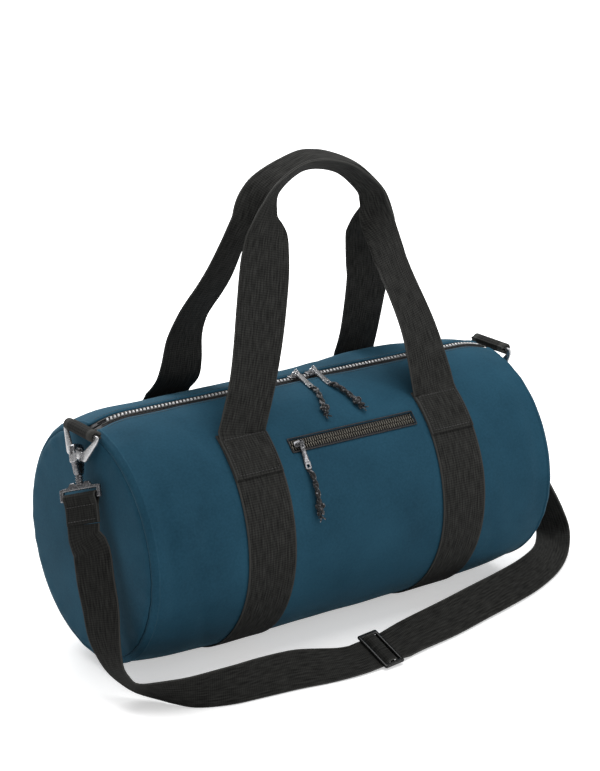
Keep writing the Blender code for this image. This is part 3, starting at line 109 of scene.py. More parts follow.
def spline_through(rows: Array, count: int) -> Array:
    """Catmull-Rom spline through given rows.

    Between two rows it is the cubic whose slope at each row is half the step between its neighbours.

    Args:
        rows: the rows, one per station, any number of columns.
        count: how many even steps of the station index to take.

    Returns:
        count + 1 rows on the spline.
    """
    table = np.asarray(rows, dtype=float)
    padded = np.vstack([2 * table[0] - table[1], table, 2 * table[-1] - table[-2]])
    place = np.linspace(0, len(table) - 1, count + 1)
    segment = np.minimum(place.astype(int), len(table) - 2)
    t = (place - segment)[:, None]
    p0, p1, p2, p3 = (padded[segment + step] for step in range(4))
    return (p1 + (p2 - p0) * t / 2 + (2 * p0 - 5 * p1 + 4 * p2 - p3) * t ** 2 / 2
            + (3 * p1 - p0 - 3 * p2 + p3) * t ** 3 / 2)


def lines_with(anchors: list[float], longest: float) -> Array:
    """Grid lines through all the anchors, with even steps no longer than this between them.

    Args:
        anchors: places that must be on a line, in any order.
        longest: the longest step allowed.

    Returns:
        The places of the lines in rising order.
    """
    anchors = sorted(anchors)
    pieces = [np.linspace(a, b, max(math.ceil((b - a) / longest - 1e-6), 1) + 1)[:-1]
              for a, b in zip(anchors, anchors[1:])]
    return np.concatenate(pieces + [np.array(anchors[-1:])])


def lengths_along(points: Array) -> Array:
    """Distance from the first point to each point, along the line through them."""
    steps = np.linalg.norm(np.diff(points, axis=0), axis=1)
    return np.concatenate([[0.0], np.cumsum(steps)])


def stacked(*parts: Any) -> Array:
    """Arrays or numbers that broadcast together, as the last axis of one array."""
    return np.stack(np.broadcast_arrays(*parts), axis=-1)


def sampled(places: Array, lengths: Array, rows: Array) -> Array:
    """Rows of numbers given at lengths along a path, read off between them at other places on it."""
    return np.stack([np.interp(places, lengths, column) for column in rows.T], axis=-1)


def tangents_of(points: Array, closed: bool = False) -> Array:
    """Unit direction at each point of a line: the step from the point before to the point after."""
    if closed:
        return unit(np.roll(points, -1, axis=0) - np.roll(points, 1, axis=0))
    return unit(np.gradient(points, axis=0))


@dataclass(frozen=True)
class Place:
    """A right-handed set of axes at a point."""

    origin: Array
    x: Array
    y: Array
    z: Array

    @staticmethod
    def across_and_up(across: Array, up: Array, origin: Array) -> Place:
        """Axes whose Y is up, whose X runs as nearly across as it can and whose Z is their normal.

        Args:
            across: rough direction of X.
            up: direction of Y.
            origin: the point.

        Returns:
            The axes at that point.
        """
        y_axis = unit(np.asarray(up, dtype=float))
        z_axis = unit(np.cross(across, y_axis))
        return Place(np.asarray(origin, dtype=float), np.cross(y_axis, z_axis), y_axis, z_axis)

    def at(self, points: Array) -> Array:
        """World places of points given in these axes."""
        points = np.asarray(points, dtype=float)
        return self.origin + points @ np.stack([self.x, self.y, self.z])

    def moved(self, offset: tuple[float, float, float]) -> Place:
        """The same axes at a point given in these axes."""
        return Place(self.at(np.array(offset)), self.x, self.y, self.z)

    def quarter_turned(self) -> Place:
        """The axes after a quarter turn about Y, so that the new Z is the old X."""
        return Place(self.origin, -self.z, self.y, self.x)


def finish_mesh(name: str, mesh: bpy.types.Mesh, material: bpy.types.Material, outwards: bool,
                smooth_angle: float = 50.0) -> bpy.types.Object:
    """Shade a mesh, point its faces outwards and make it an object at the origin.

    Args:
        name: the piece's name.
        mesh: its mesh, in world places.
        material: its finish.
        outwards: True for a closed surface, whose normals are worked out again.
        smooth_angle: edges sharper than this many degrees stay crisp.

    Returns:
        The piece.
    """
    if outwards:
        work = bmesh.new()
        work.from_mesh(mesh)
        bmesh.ops.recalc_face_normals(work, faces=work.faces)
        work.to_mesh(mesh)
        work.free()
    mesh.shade_smooth()
    mesh.set_sharp_from_angle(angle=math.radians(smooth_angle))
    mesh.materials.append(material)
    piece = bpy.data.objects.new(name, mesh)
    bpy.context.scene.collection.objects.link(piece)
    return piece


def grid_cells(rows: int, columns: int, wrap_rows: bool, wrap_columns: bool) -> tuple[Array, Array]:
    """Corner indices of a grid's cells.

    Args:
        rows: number of rows of points.
        columns: number of columns of points.
        wrap_rows: True if the last row joins the first.
        wrap_columns: True if the last column joins the first.

    Returns:
        Indices into the points, and into a UV grid that has one more row or column where it wraps.
    """
    cell_rows = rows if wrap_rows else rows - 1
    cell_columns = columns if wrap_columns else columns - 1
    row, column = np.meshgrid(np.arange(cell_rows), np.arange(cell_columns), indexing="ij")
    row, column = row.ravel(), column.ravel()
    uv_columns = columns + 1 if wrap_columns else columns
    corners = ((0, 0), (0, 1), (1, 1), (1, 0))
    points = np.stack([(row + r) % rows * columns + (column + c) % columns for r, c in corners], axis=1)
    uvs = np.stack([(row + r) * uv_columns + (column + c) for r, c in corners], axis=1)
    return points, uvs


def surface(name: str, points: Array, uvs: Array, material: bpy.types.Material, wrap_rows: bool = False,
            wrap_columns: bool = False, capped: bool = False, keep: Array | None = None,
            outwards: bool = True, smooth_angle: float = 50.0) -> bpy.types.Object:
    """Mesh of a surface given on a grid.

    Args:
        name: the piece's name.
        points: rows x columns x 3 places.
        uvs: pattern coordinates in metres, with one more row or column where the grid wraps.
        material: its finish.
        wrap_rows: True if the last row joins the first.
        wrap_columns: True if the last column joins the first.
        capped: True to close the first and last rows, which must be loops.
        keep: which cells to keep, rows x columns, or None for all.
        outwards: True for a closed surface.
        smooth_angle: edges sharper than this many degrees stay crisp.

    Returns:
        The piece.
    """
    rows, columns = points.shape[:2]
    cells, uv_cells = grid_cells(rows, columns, wrap_rows, wrap_columns)
    if keep is not None:
        cells, uv_cells = cells[keep.ravel()], uv_cells[keep.ravel()]
    faces = cells.tolist()
    loop_uvs = [uvs.reshape(-1, 2)[uv_cells].reshape(-1, 2)]
    if capped:
        last = (rows - 1) * columns
        faces += [list(range(columns))[::-1], list(range(last, last + columns))]
        loop_uvs += [uvs[0, :columns][::-1], uvs[rows - 1, :columns]]
    flat = points.reshape(-1, 3)
    if keep is not None:
        used = np.unique(cells)
        renumbered = np.full(len(flat), -1)
        renumbered[used] = np.arange(len(used))
        faces = renumbered[cells].tolist()
        flat = flat[used]
    mesh = bpy.data.meshes.new(name)
    mesh.from_pydata(flat.tolist(), [], faces)
    layer = mesh.uv_layers.new(name="UVMap")
    layer.data.foreach_set("uv", np.concatenate(loop_uvs).astype(np.float32).ravel())
    return finish_mesh(name, mesh, material, outwards, smooth_angle)


def closed_surface(name: str, points: Array, material: bpy.types.Material, ring: bool = False,
                   smooth_angle: float = 50.0) -> bpy.types.Object:
    """Closed mesh of loops along a path, without pattern coordinates.

    Args:
        name: the piece's name.
        points: rows x columns x 3 places, where each row is a loop.
        material: its finish.
        ring: True if the last loop joins the first, and False to close both ends with a face.
        smooth_angle: edges sharper than this many degrees stay crisp.

    Returns:
        The piece.
    """
    rows, columns = points.shape[:2]
    return surface(name, points, np.zeros((rows + ring, columns + 1, 2)), material, wrap_rows=ring,
                   wrap_columns=True, capped=not ring, smooth_angle=smooth_angle)


def carried(profiles: Array, origins: Array, across: Array, normals: Array) -> Array:
    """Profiles carried along a path: origin plus first coordinate across plus second along the normal.

    Args:
        profiles: loop points, columns x 2, or rows x columns x 2 where the loop changes.
        origins: rows x 3 places.
        across: rows x 3 directions of the first coordinate.
        normals: rows x 3 directions of the second.

    Returns:
        rows x columns x 3 places.
    """
    profiles = np.broadcast_to(profiles, (len(origins), *profiles.shape[-2:]))
    return (origins[:, None] + profiles[..., :1] * across[:, None] + profiles[..., 1:] * normals[:, None])


def round_wire(path: Array, radii: Array, sides: int = 10, closed: bool = False) -> Array:
    """Circle of the given radius carried along a path, on axes that turn as little as they can.

    Args:
        path: rows x 3 places.
        radii: one radius, or one for each row.
        sides: points round the circle.
        closed: True if the path is a loop that lies in one plane.

    Returns:
        rows x sides x 3 places.
    """
    tangents = tangents_of(path, closed)
    spread = np.linalg.svd(path - path.mean(axis=0))[2]
    fixed = spread[2] if len(path) > 2 else Z_AXIS
    sideways = unit(np.cross(tangents, fixed))
    upwards = np.cross(sideways, tangents)
    angles = np.linspace(0, TURN, sides, endpoint=False)
    circle = stacked(np.cos(angles), np.sin(angles))
    radii = np.broadcast_to(np.asarray(radii, dtype=float), (len(path),))
    return carried(circle[None] * radii[:, None, None], path, sideways, upwards)


def rounded_corners(corners: Array, radius: float, steps: int = 4) -> Array:
    """Closed outline whose corners are rounded.

    Each corner becomes a quadratic curve from a point one radius before it to one a radius after it.

    Args:
        corners: corners x 2 places in order.
        radius: how far from each corner the rounding starts, or one radius for each corner.
        steps: points on each corner.

    Returns:
        (corners * steps) x 2 places.
    """
    corners = np.asarray(corners, dtype=float)
    before = unit(np.roll(corners, 1, axis=0) - corners)
    after = unit(np.roll(corners, -1, axis=0) - corners)
    reach = np.broadcast_to(np.asarray(radius, dtype=float), (len(corners),))[:, None]
    t = np.linspace(0, 1, steps)[None, :, None]
    first = (corners + before * reach)[:, None]
    last = (corners + after * reach)[:, None]
    curve = (1 - t) ** 2 * first + 2 * t * (1 - t) * corners[:, None] + t ** 2 * last
    return curve.reshape(-1, 2)


def mirrored(right: list[tuple[float, float]]) -> list[tuple[float, float]]:
    """Corners of an outline that is the same on both sides.

    Args:
        right: the corners on its right side, in order.

    Returns:
        The first corner's mirror image, the corners, and the other images in reverse order.
    """
    images = [(-x, y) for x, y in right]
    return images[:1] + right + images[:0:-1]


def plate_section(thickness: float, edge: float, width: Array) -> tuple[Array, Array]:
    """Section of a flat bar with rounded edges, as shares across its width and heights.

    The section is a rectangle whose corners are quarter circles.

    Args:
        thickness: the bar's thickness.
        edge: radius of its edges.
        width: the bar's width at each station.

    Returns:
        Shares from 0 at the outer edge to 1 at the inner one (stations x 20), and heights (20).
    """
    angles = np.radians([180, 157, 135, 112, 90, 90, 67, 45, 22, 0, 0, -22, -45, -67, -90, -90, -112, -135,
                         -157, 180])
    inset_left = edge * (1 + np.cos(angles))
    inset_right = edge * (1 - np.cos(angles))
    left = np.isin(np.arange(20), [0, 1, 2, 3, 4, 15, 16, 17, 18, 19])
    edge_share = np.minimum(edge / np.maximum(width, 1e-9), 0.5)[:, None]
    left_share = edge_share * (inset_left / edge)[None]
    right_share = 1 - edge_share * (inset_right / edge)[None]
    shares = np.where(left[None], left_share, right_share)
    heights = (thickness / 2 - edge) * np.sign(np.sin(angles)) + edge * np.sin(angles)
    heights[[0, 9]] = thickness / 2 - edge
    heights[[10, 19]] = edge - thickness / 2
    return shares, heights


def ring_plate(outer: Array, inner: Array, thickness: float, edge: float, place: Place,
               heights: Array | None = None) -> Array:
    """Flat bar bent into a closed frame: a rounded section carried between two outlines.

    Args:
        outer: stations x 2 outline of the frame's outside.
        inner: the matching stations of its inside.
        thickness: the bar's thickness.
        edge: radius of its edges.
        place: axes that the outlines are given in.
        heights: height of the bar's middle at each station, or None for a flat frame.

    Returns:
        stations x 20 x 3 places.
    """
    width = np.linalg.norm(outer - inner, axis=1)
    shares, levels = plate_section(thickness, edge, width)
    flat = outer[:, None] + (inner - outer)[:, None] * shares[..., None]
    lift = levels[None] + (0.0 if heights is None else heights[:, None])
    return place.at(np.concatenate([flat, np.broadcast_to(lift, shares.shape)[..., None]], axis=-1))


def pillow_plate(outline: Array, thickness: float, edge: float, place: Place, crown: float = 0.0) -> Array:
    """Solid plate with rounded edges and a slightly crowned top.

    Rings of the outline shrink towards its middle while their heights follow a quarter circle, and the
    last ring closes on the middle.

    Args:
        outline: stations x 2 closed outline.
        thickness: the plate's thickness.
        edge: radius of its edges.
        place: axes that the outline is given in.
        crown: how much higher the top's middle is than its edge.

    Returns:
        rings x stations x 3 places.
    """
    middle = outline.mean(axis=0)
    reach = np.linalg.norm(outline - middle, axis=1).mean()
    angles = np.radians([0, 30, 60, 90])
    insets = edge * (1 - np.cos(angles)) / reach
    rises = thickness / 2 - edge * (1 - np.sin(angles))
    flats = np.array([0.5, 0.9, 0.999])
    shares = np.concatenate([1 - flats[::-1], 1 - insets[::-1], 1 - insets, 1 - flats])
    levels = np.concatenate([[-thickness / 2] * 3, -rises[::-1], rises,
                             thickness / 2 + crown * (1 - (1 - flats) ** 2)])
    rings = middle + (outline - middle)[None] * shares[:, None, None]
    heights = np.broadcast_to(levels[:, None, None], (*rings.shape[:2], 1))
    return place.at(np.concatenate([rings, heights], axis=-1))


def revolved(profile: Array, place: Place, sides: int = 24) -> Array:
    """Profile of radius and height turned about the place's Y axis.

    Args:
        profile: rows of (radius, height).
        place: the axes.
        sides: points round the axis.

    Returns:
        rows x sides x 3 places.
    """
    angles = np.linspace(0, TURN, sides, endpoint=False)
    radius, height = profile[:, :1], profile[:, 1:]
    rings = stacked(radius * np.cos(angles), height, -radius * np.sin(angles))
    return place.at(rings)


def many(template: Array, faces: Array, places: Array, frames: Array) -> tuple[Array, Array]:
    """Copies of a small solid, one at each place.

    Args:
        template: points x 3 of the solid in its own axes.
        faces: its faces, as corner indices.
        places: copies x 3 origins.
        frames: copies x 3 x 3, whose rows are each copy's axes.

    Returns:
        All the points and all the faces.
    """
    points = places[:, None] + np.einsum("pk,nkj->npj", template, frames)
    shift = np.arange(len(places))[:, None, None] * len(template)
    return points.reshape(-1, 3), (faces[None] + shift).reshape(-1, faces.shape[1])


def plain_mesh(name: str, points: Array, faces: Array, material: bpy.types.Material,
               smooth_angle: float = 50.0) -> bpy.types.Object:
    """Mesh of separate small solids, without pattern coordinates.

    Args:
        name: the piece's name.
        points: corners, n x 3.
        faces: corner numbers of each face.
        material: its finish.
        smooth_angle: edges sharper than this many degrees stay crisp.

    Returns:
        The piece.
    """
    mesh = bpy.data.meshes.new(name)
    mesh.from_pydata(points.tolist(), [], faces.tolist())
    return finish_mesh(name, mesh, material, True, smooth_angle)


def lozenge(length: float, width: float, height: float) -> tuple[Array, Array]:
    """Small rounded bar along X: five hexagonal rings, full in the middle and drawn in at both ends.

    Args:
        length: along X.
        width: along Y.
        height: along Z.

    Returns:
        Points and four-cornered faces, closed with folded end faces.
    """
    angles = np.linspace(0, TURN, 6, endpoint=False)
    stations = np.array([-0.5, -0.36, 0.0, 0.36, 0.5])
    scales = np.array([0.25, 0.85, 1.0, 0.85, 0.25])
    rings = stacked(stations[:, None] * length, scales[:, None] * np.cos(angles) * width / 2,
                    scales[:, None] * np.sin(angles) * height / 2)
    cells, _ = grid_cells(rows=5, columns=6, wrap_rows=False, wrap_columns=True)
    ends = np.array([[0, 1, 2, 3], [0, 3, 4, 5], [24, 27, 26, 25], [24, 29, 28, 27]])
    return rings.reshape(-1, 3), np.concatenate([cells, ends])


def joined(name: str, pieces: list[bpy.types.Object]) -> bpy.types.Object:
    """One piece made of several closed ones, keeping their materials.

    Args:
        name: the piece's name.
        pieces: the closed pieces.

    Returns:
        The one piece.
    """
    work = bmesh.new()
    materials: list[bpy.types.Material] = []
    for piece in pieces:
        material = piece.data.materials[0]
        if material not in materials:
            materials.append(material)
        first = len(work.faces)
        work.from_mesh(piece.data)
        work.faces.ensure_lookup_table()
        for face in work.faces[first:]:
            face.material_index = materials.index(material)
    mesh = bpy.data.meshes.new(name)
    work.to_mesh(mesh)
    work.free()
    for material in materials:
        mesh.materials.append(material)
    for piece in pieces:
        bpy.data.objects.remove(piece, do_unlink=True)
    whole = bpy.data.objects.new(name, mesh)
    bpy.context.scene.collection.objects.link(whole)
    return whole


def settle(piece: bpy.types.Object, body: str, slot: str, *nodes: str) -> bpy.types.Object:
    """Make a piece ride on its body in place of its CAD nodes, and report it.

    Args:
        piece: the piece.
        body: the body that it rides on.
        slot: the slot of its finish; not used.
        nodes: the CAD nodes that it replaces.

    Returns:
        The piece.
    """
    if nodes:
        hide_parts(*nodes)
    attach(piece, body)
    LOG.info("%s: %d faces on %s", piece.name, len(piece.data.polygons), body)
    return piece


# Finishes


def linear(code: str) -> tuple[float, float, float, float]:
    """Linear colour of an sRGB hex code such as 27485b.

    Args:
        code: six hexadecimal digits.

    Returns:
        Red, green, blue and a full alpha.
    """
    parts = [int(code[start:start + 2], 16) / 255 for start in (0, 2, 4)]
    red, green, blue = (part / 12.92 if part <= 0.04045 else ((part + 0.055) / 1.055) ** 2.4
                        for part in parts)
    return red, green, blue, 1.0


def fill_sockets(tree: bpy.types.NodeTree, node: bpy.types.Node, inputs: dict[str | int, Any]) -> None:
    """Give a node's sockets their values, or a link where the value is another node's output.

    Args:
        tree: the node's tree.
        node: the node.
        inputs: values by the socket's name or number.
    """
    for key, value in inputs.items():
        if isinstance(value, bpy.types.NodeSocket):
            tree.links.new(value, node.inputs[key])
        else:
            node.inputs[key].default_value = value


def add_node(tree: bpy.types.NodeTree, kind: str, settings: dict[str, Any] | None = None,
             inputs: dict[str | int, Any] | None = None) -> bpy.types.Node:
    """Add a node with its settings and links.

    Args:
        tree: the tree to add to.
        kind: the node's type.
        settings: attributes to set on it.
        inputs: values for its sockets, where another node's output socket is linked.

    Returns:
        The node.
    """
    node = tree.nodes.new(kind)
    for key, value in (settings or {}).items():
        setattr(node, key, value)
    fill_sockets(tree, node, inputs or {})
    return node


def new_material(name: str) -> tuple[bpy.types.Material, bpy.types.NodeTree, bpy.types.Node]:
    """An empty material with its tree and its Principled shader, already linked to the output.

    Args:
        name: the material's name.

    Returns:
        The material, its tree and its shader.
    """
    material = bpy.data.materials.new(name)
    material.use_nodes = True
    tree = material.node_tree
    tree.nodes.clear()
    output = add_node(tree, "ShaderNodeOutputMaterial")
    shader = add_node(tree, "ShaderNodeBsdfPrincipled")
    tree.links.new(shader.outputs["BSDF"], output.inputs["Surface"])
    return material, tree, shader


def wave_scale(pitch: float) -> float:
    """Scale at which Blender's band pattern repeats once in this many metres."""
    return TURN / (20 * pitch)


@dataclass(frozen=True)
class WovenCanvas:
    """Polyester canvas, plain woven and piece dyed: matte, with a faint pale sheen at grazing angles.

    The real threads are 0.3 mm apart; they are drawn 1.3 mm apart, so that they show at a millimetre a
    pixel.
    """

    name: str
    dark: str = "1c4153"
    light: str = "285368"
    thread_pitch: float = 0.0013
    roughness: float = 0.78
    sheen: float = 0.20
    sheen_tint: str = "a3c6cd"
    bump_depth: float = 0.00012

    def build(self) -> bpy.types.Material:
        """The material.

        Returns:
            The finish.
        """
        material, tree, shader = new_material(self.name)
        coordinates = add_node(tree, "ShaderNodeTexCoord")
        uv = coordinates.outputs["UV"]
        warp = add_node(tree, "ShaderNodeTexWave", {"bands_direction": "X"},
                        {"Vector": uv, "Scale": wave_scale(self.thread_pitch), "Distortion": 0.4})
        weft = add_node(tree, "ShaderNodeTexWave", {"bands_direction": "Y"},
                        {"Vector": uv, "Scale": wave_scale(self.thread_pitch), "Distortion": 0.4})
        weave = add_node(tree, "ShaderNodeMath", {"operation": "MULTIPLY"},
                         {0: warp.outputs["Fac"], 1: weft.outputs["Fac"]})
        slub = add_node(tree, "ShaderNodeTexNoise", None,
                        {"Vector": coordinates.outputs["Object"], "Scale": 420.0, "Detail": 3.0})
        cloud = add_node(tree, "ShaderNodeTexNoise", None,
                         {"Vector": coordinates.outputs["Object"], "Scale": 14.0, "Detail": 4.0})
        height = add_node(tree, "ShaderNodeMath", {"operation": "MULTIPLY_ADD"},
                          {0: slub.outputs["Fac"], 1: 0.7, 2: weave.outputs["Value"]})
        bump = add_node(tree, "ShaderNodeBump", None,
                        {"Height": height.outputs["Value"], "Strength": 0.55, "Distance": self.bump_depth})
        shade = add_node(tree, "ShaderNodeMath", {"operation": "MULTIPLY_ADD", "use_clamp": True},
                         {0: slub.outputs["Fac"], 1: 0.5, 2: cloud.outputs["Fac"]})
        spread = add_node(tree, "ShaderNodeMapRange", None,
                          {"Value": shade.outputs["Value"], "From Min": 0.45, "From Max": 1.0})
        colour = add_node(tree, "ShaderNodeMix", {"data_type": "RGBA"},
                          {0: spread.outputs["Result"], 6: linear(self.dark), 7: linear(self.light)})
        fill_sockets(tree, shader, {"Base Color": colour.outputs[2], "Normal": bump.outputs["Normal"],
                                    "Roughness": self.roughness, "Sheen Weight": self.sheen,
                                    "Sheen Roughness": 0.28, "Sheen Tint": linear(self.sheen_tint),
                                    "Specular IOR Level": 0.12})
        return material


@dataclass(frozen=True)
class RibbedWebbing:
    """Polyester webbing, woven narrow and heavy: ribs run across it and cords along it, matte black.

    The ribs and cords are drawn coarser than on real webbing, 2 to 3 mm apart, so that they show.
    """

    name: str
    dark: str = "151514"
    light: str = "3a3a38"
    streak_scale: tuple[float, float, float] = (620.0, 70.0, 1.0)
    # Paler band along both edges, from this distance out from the middle: a painted highlight of the edges
    # catching light.
    edge_highlight_start: float = 0.0258
    edge_highlight_colour: str = "41413f"
    rib_pitch: float = 0.0023
    cord_pitch: float = 0.0033
    roughness: float = 0.85
    sheen: float = 0.07
    bump_depth: float = 0.00022

    def build(self) -> bpy.types.Material:
        """The material. The pattern coordinates run across the webbing in U and along it in V.

        Returns:
            The finish.
        """
        material, tree, shader = new_material(self.name)
        coordinates = add_node(tree, "ShaderNodeTexCoord")
        uv = coordinates.outputs["UV"]
        ribs = add_node(tree, "ShaderNodeTexWave", {"bands_direction": "Y"},
                        {"Vector": uv, "Scale": wave_scale(self.rib_pitch), "Distortion": 0.6})
        cords = add_node(tree, "ShaderNodeTexWave", {"bands_direction": "X"},
                         {"Vector": uv, "Scale": wave_scale(self.cord_pitch), "Distortion": 0.5})
        fuzz = add_node(tree, "ShaderNodeTexNoise", None,
                        {"Vector": coordinates.outputs["Object"], "Scale": 700.0, "Detail": 3.0})
        stretched = add_node(tree, "ShaderNodeMapping", None, {"Vector": uv, "Scale": self.streak_scale})
        streaks = add_node(tree, "ShaderNodeTexNoise", None,
                           {"Vector": stretched.outputs["Vector"], "Scale": 1.0, "Detail": 3.0})
        weave = add_node(tree, "ShaderNodeMath", {"operation": "MULTIPLY_ADD"},
                         {0: cords.outputs["Fac"], 1: 0.6, 2: ribs.outputs["Fac"]})
        height = add_node(tree, "ShaderNodeMath", {"operation": "MULTIPLY_ADD"},
                          {0: fuzz.outputs["Fac"], 1: 0.8, 2: weave.outputs["Value"]})
        bump = add_node(tree, "ShaderNodeBump", None,
                        {"Height": height.outputs["Value"], "Strength": 0.5, "Distance": self.bump_depth})
        shade = add_node(tree, "ShaderNodeMath", {"operation": "MULTIPLY_ADD"},
                         {0: weave.outputs["Value"], 1: 0.16, 2: streaks.outputs["Fac"]})
        spread = add_node(tree, "ShaderNodeMapRange", None,
                          {"Value": shade.outputs["Value"], "From Min": 0.38, "From Max": 0.90})
        colour = add_node(tree, "ShaderNodeMix", {"data_type": "RGBA"},
                          {0: spread.outputs["Result"], 6: linear(self.dark), 7: linear(self.light)})
        # Painted highlight: the colour turns paler along both edges of the webbing.
        parts = add_node(tree, "ShaderNodeSeparateXYZ", None, {"Vector": uv})
        reach = add_node(tree, "ShaderNodeMath", {"operation": "ABSOLUTE"}, {0: parts.outputs["X"]})
        edge = add_node(tree, "ShaderNodeMapRange", None, {"Value": reach.outputs["Value"],
                                                           "From Min": self.edge_highlight_start,
                                                           "From Max": self.edge_highlight_start + 0.0006})
        edge_highlighted = add_node(tree, "ShaderNodeMix", {"data_type": "RGBA"},
                         {0: edge.outputs["Result"], 6: colour.outputs[2], 7: linear(self.edge_highlight_colour)})
        fill_sockets(tree, shader, {"Base Color": edge_highlighted.outputs[2], "Normal": bump.outputs["Normal"],
                                    "Roughness": self.roughness, "Sheen Weight": self.sheen,
                                    "Sheen Roughness": 0.4, "Sheen Tint": linear("7c7c7a"),
                                    "Specular IOR Level": 0.15})
        return material


@dataclass(frozen=True)
class SpunThread:
    """Bonded sewing thread or twisted cord, dyed black: satin, with a fine diagonal twist."""

    name: str
    dark: str = "141413"
    light: str = "3a3938"
    twist_scale: float = 900.0
    roughness: float = 0.6
    # Range of the fibre noise over which the light colour comes in: random fibre tone on the sewing thread,
    # painted glints on the cord.
    fleck_and_glint_start: float = 0.35
    fleck_and_glint_full: float = 0.70

    def build(self) -> bpy.types.Material:
        """The material.

        Returns:
            The finish.
        """
        material, tree, shader = new_material(self.name)
        coordinates = add_node(tree, "ShaderNodeTexCoord")
        fibre = add_node(tree, "ShaderNodeTexNoise", None,
                         {"Vector": coordinates.outputs["Object"], "Scale": self.twist_scale, "Detail": 2.0})
        spread = add_node(tree, "ShaderNodeMapRange", None,
                          {"Value": fibre.outputs["Fac"], "From Min": self.fleck_and_glint_start,
                           "From Max": self.fleck_and_glint_full})
        colour = add_node(tree, "ShaderNodeMix", {"data_type": "RGBA"},
                          {0: spread.outputs["Result"], 6: linear(self.dark), 7: linear(self.light)})
        bump = add_node(tree, "ShaderNodeBump", None,
                        {"Height": fibre.outputs["Fac"], "Strength": 0.6, "Distance": 0.0002})
        fill_sockets(tree, shader, {"Base Color": colour.outputs[2], "Normal": bump.outputs["Normal"],
                                    "Roughness": self.roughness, "Sheen Weight": 0.2})
        return material


@dataclass(frozen=True)
class HerringboneTape:
    """Polyester zip tape, woven in a narrow herringbone: a dull purplish black.

    The chevrons are drawn coarser than on real tape, so that they show.
    """

    name: str
    dark: str = "0e0e11"
    light: str = "211f26"
    chevron_pitch: float = 0.0022
    row_width: float = 0.0030

    def build(self) -> bpy.types.Material:
        """The material. Zigzag rows: V plus the distance from each row's middle, drawn as bands.

        Returns:
            The finish.
        """
        material, tree, shader = new_material(self.name)
        coordinates = add_node(tree, "ShaderNodeTexCoord")
        parts = add_node(tree, "ShaderNodeSeparateXYZ", None, {"Vector": coordinates.outputs["UV"]})
        zigzag = add_node(tree, "ShaderNodeMath", {"operation": "PINGPONG"},
                          {0: parts.outputs["X"], 1: self.row_width / 2})
        slanted = add_node(tree, "ShaderNodeMath", {"operation": "ADD"},
                           {0: zigzag.outputs["Value"], 1: parts.outputs["Y"]})
        turns = add_node(tree, "ShaderNodeMath", {"operation": "MULTIPLY"},
                         {0: slanted.outputs["Value"], 1: TURN / self.chevron_pitch})
        bands = add_node(tree, "ShaderNodeMath", {"operation": "SINE"}, {0: turns.outputs["Value"]})
        spread = add_node(tree, "ShaderNodeMapRange", None, {"Value": bands.outputs["Value"],
                                                             "From Min": -1.0})
        colour = add_node(tree, "ShaderNodeMix", {"data_type": "RGBA"},
                          {0: spread.outputs["Result"], 6: linear(self.dark), 7: linear(self.light)})
        bump = add_node(tree, "ShaderNodeBump", None,
                        {"Height": spread.outputs["Result"], "Strength": 0.4, "Distance": 0.0002})
        fill_sockets(tree, shader, {"Base Color": colour.outputs[2], "Normal": bump.outputs["Normal"],
                                    "Roughness": 0.7, "Sheen Weight": 0.1})
        return material


@dataclass(frozen=True)
class PlatedMetal:
    """Zinc alloy, die cast and plated: a smooth mirror broken by faint casting waves and random rubbed
    patches.
    """

    name: str
    colour: str = "8b8b8e"
    rubbed: str = "b5b5b6"
    roughness: float = 0.24
    wave_scale: float = 160.0
    wave_depth: float = 0.00010
    metallic: float = 1.0

    def build(self) -> bpy.types.Material:
        """The material.

        Returns:
            The finish.
        """
        material, tree, shader = new_material(self.name)
        coordinates = add_node(tree, "ShaderNodeTexCoord")
        waves = add_node(tree, "ShaderNodeTexNoise", None,
                         {"Vector": coordinates.outputs["Object"], "Scale": self.wave_scale, "Detail": 2.0})
        grime = add_node(tree, "ShaderNodeTexNoise", None,
                         {"Vector": coordinates.outputs["Object"], "Scale": 600.0, "Detail": 4.0})
        spread = add_node(tree, "ShaderNodeMapRange", None,
                          {"Value": grime.outputs["Fac"], "From Min": 0.4, "From Max": 0.75})
        colour = add_node(tree, "ShaderNodeMix", {"data_type": "RGBA"},
                          {0: spread.outputs["Result"], 6: linear(self.colour), 7: linear(self.rubbed)})
        polish = add_node(tree, "ShaderNodeMapRange", None,
                          {"Value": grime.outputs["Fac"], "From Min": 0.3, "From Max": 0.8,
                           "To Min": self.roughness * 0.8, "To Max": self.roughness * 1.4})
        bump = add_node(tree, "ShaderNodeBump", None,
                        {"Height": waves.outputs["Fac"], "Strength": 0.5, "Distance": self.wave_depth})
        fill_sockets(tree, shader, {"Base Color": colour.outputs[2], "Roughness": polish.outputs["Result"],
                                    "Normal": bump.outputs["Normal"], "Metallic": self.metallic})
        return material


@dataclass(frozen=True)
class MouldedAcetal:
    """Acetal, injection moulded and black: semi-gloss, with a faint orange-peel surface."""

    name: str
    dark: str = "0e0e0e"
    light: str = "181818"
    roughness: float = 0.24

    def build(self) -> bpy.types.Material:
        """The material.

        Returns:
            The finish.
        """
        material, tree, shader = new_material(self.name)
        coordinates = add_node(tree, "ShaderNodeTexCoord")
        peel = add_node(tree, "ShaderNodeTexNoise", None,
                        {"Vector": coordinates.outputs["Object"], "Scale": 500.0, "Detail": 2.0})
        colour = add_node(tree, "ShaderNodeMix", {"data_type": "RGBA"},
                          {0: peel.outputs["Fac"], 6: linear(self.dark), 7: linear(self.light)})
        bump = add_node(tree, "ShaderNodeBump", None,
                        {"Height": peel.outputs["Fac"], "Strength": 0.3, "Distance": 0.0001})
        fill_sockets(tree, shader, {"Base Color": colour.outputs[2], "Normal": bump.outputs["Normal"],
                                    "Roughness": self.roughness, "IOR": 1.48})
        return material


# The shapes that everything is laid on


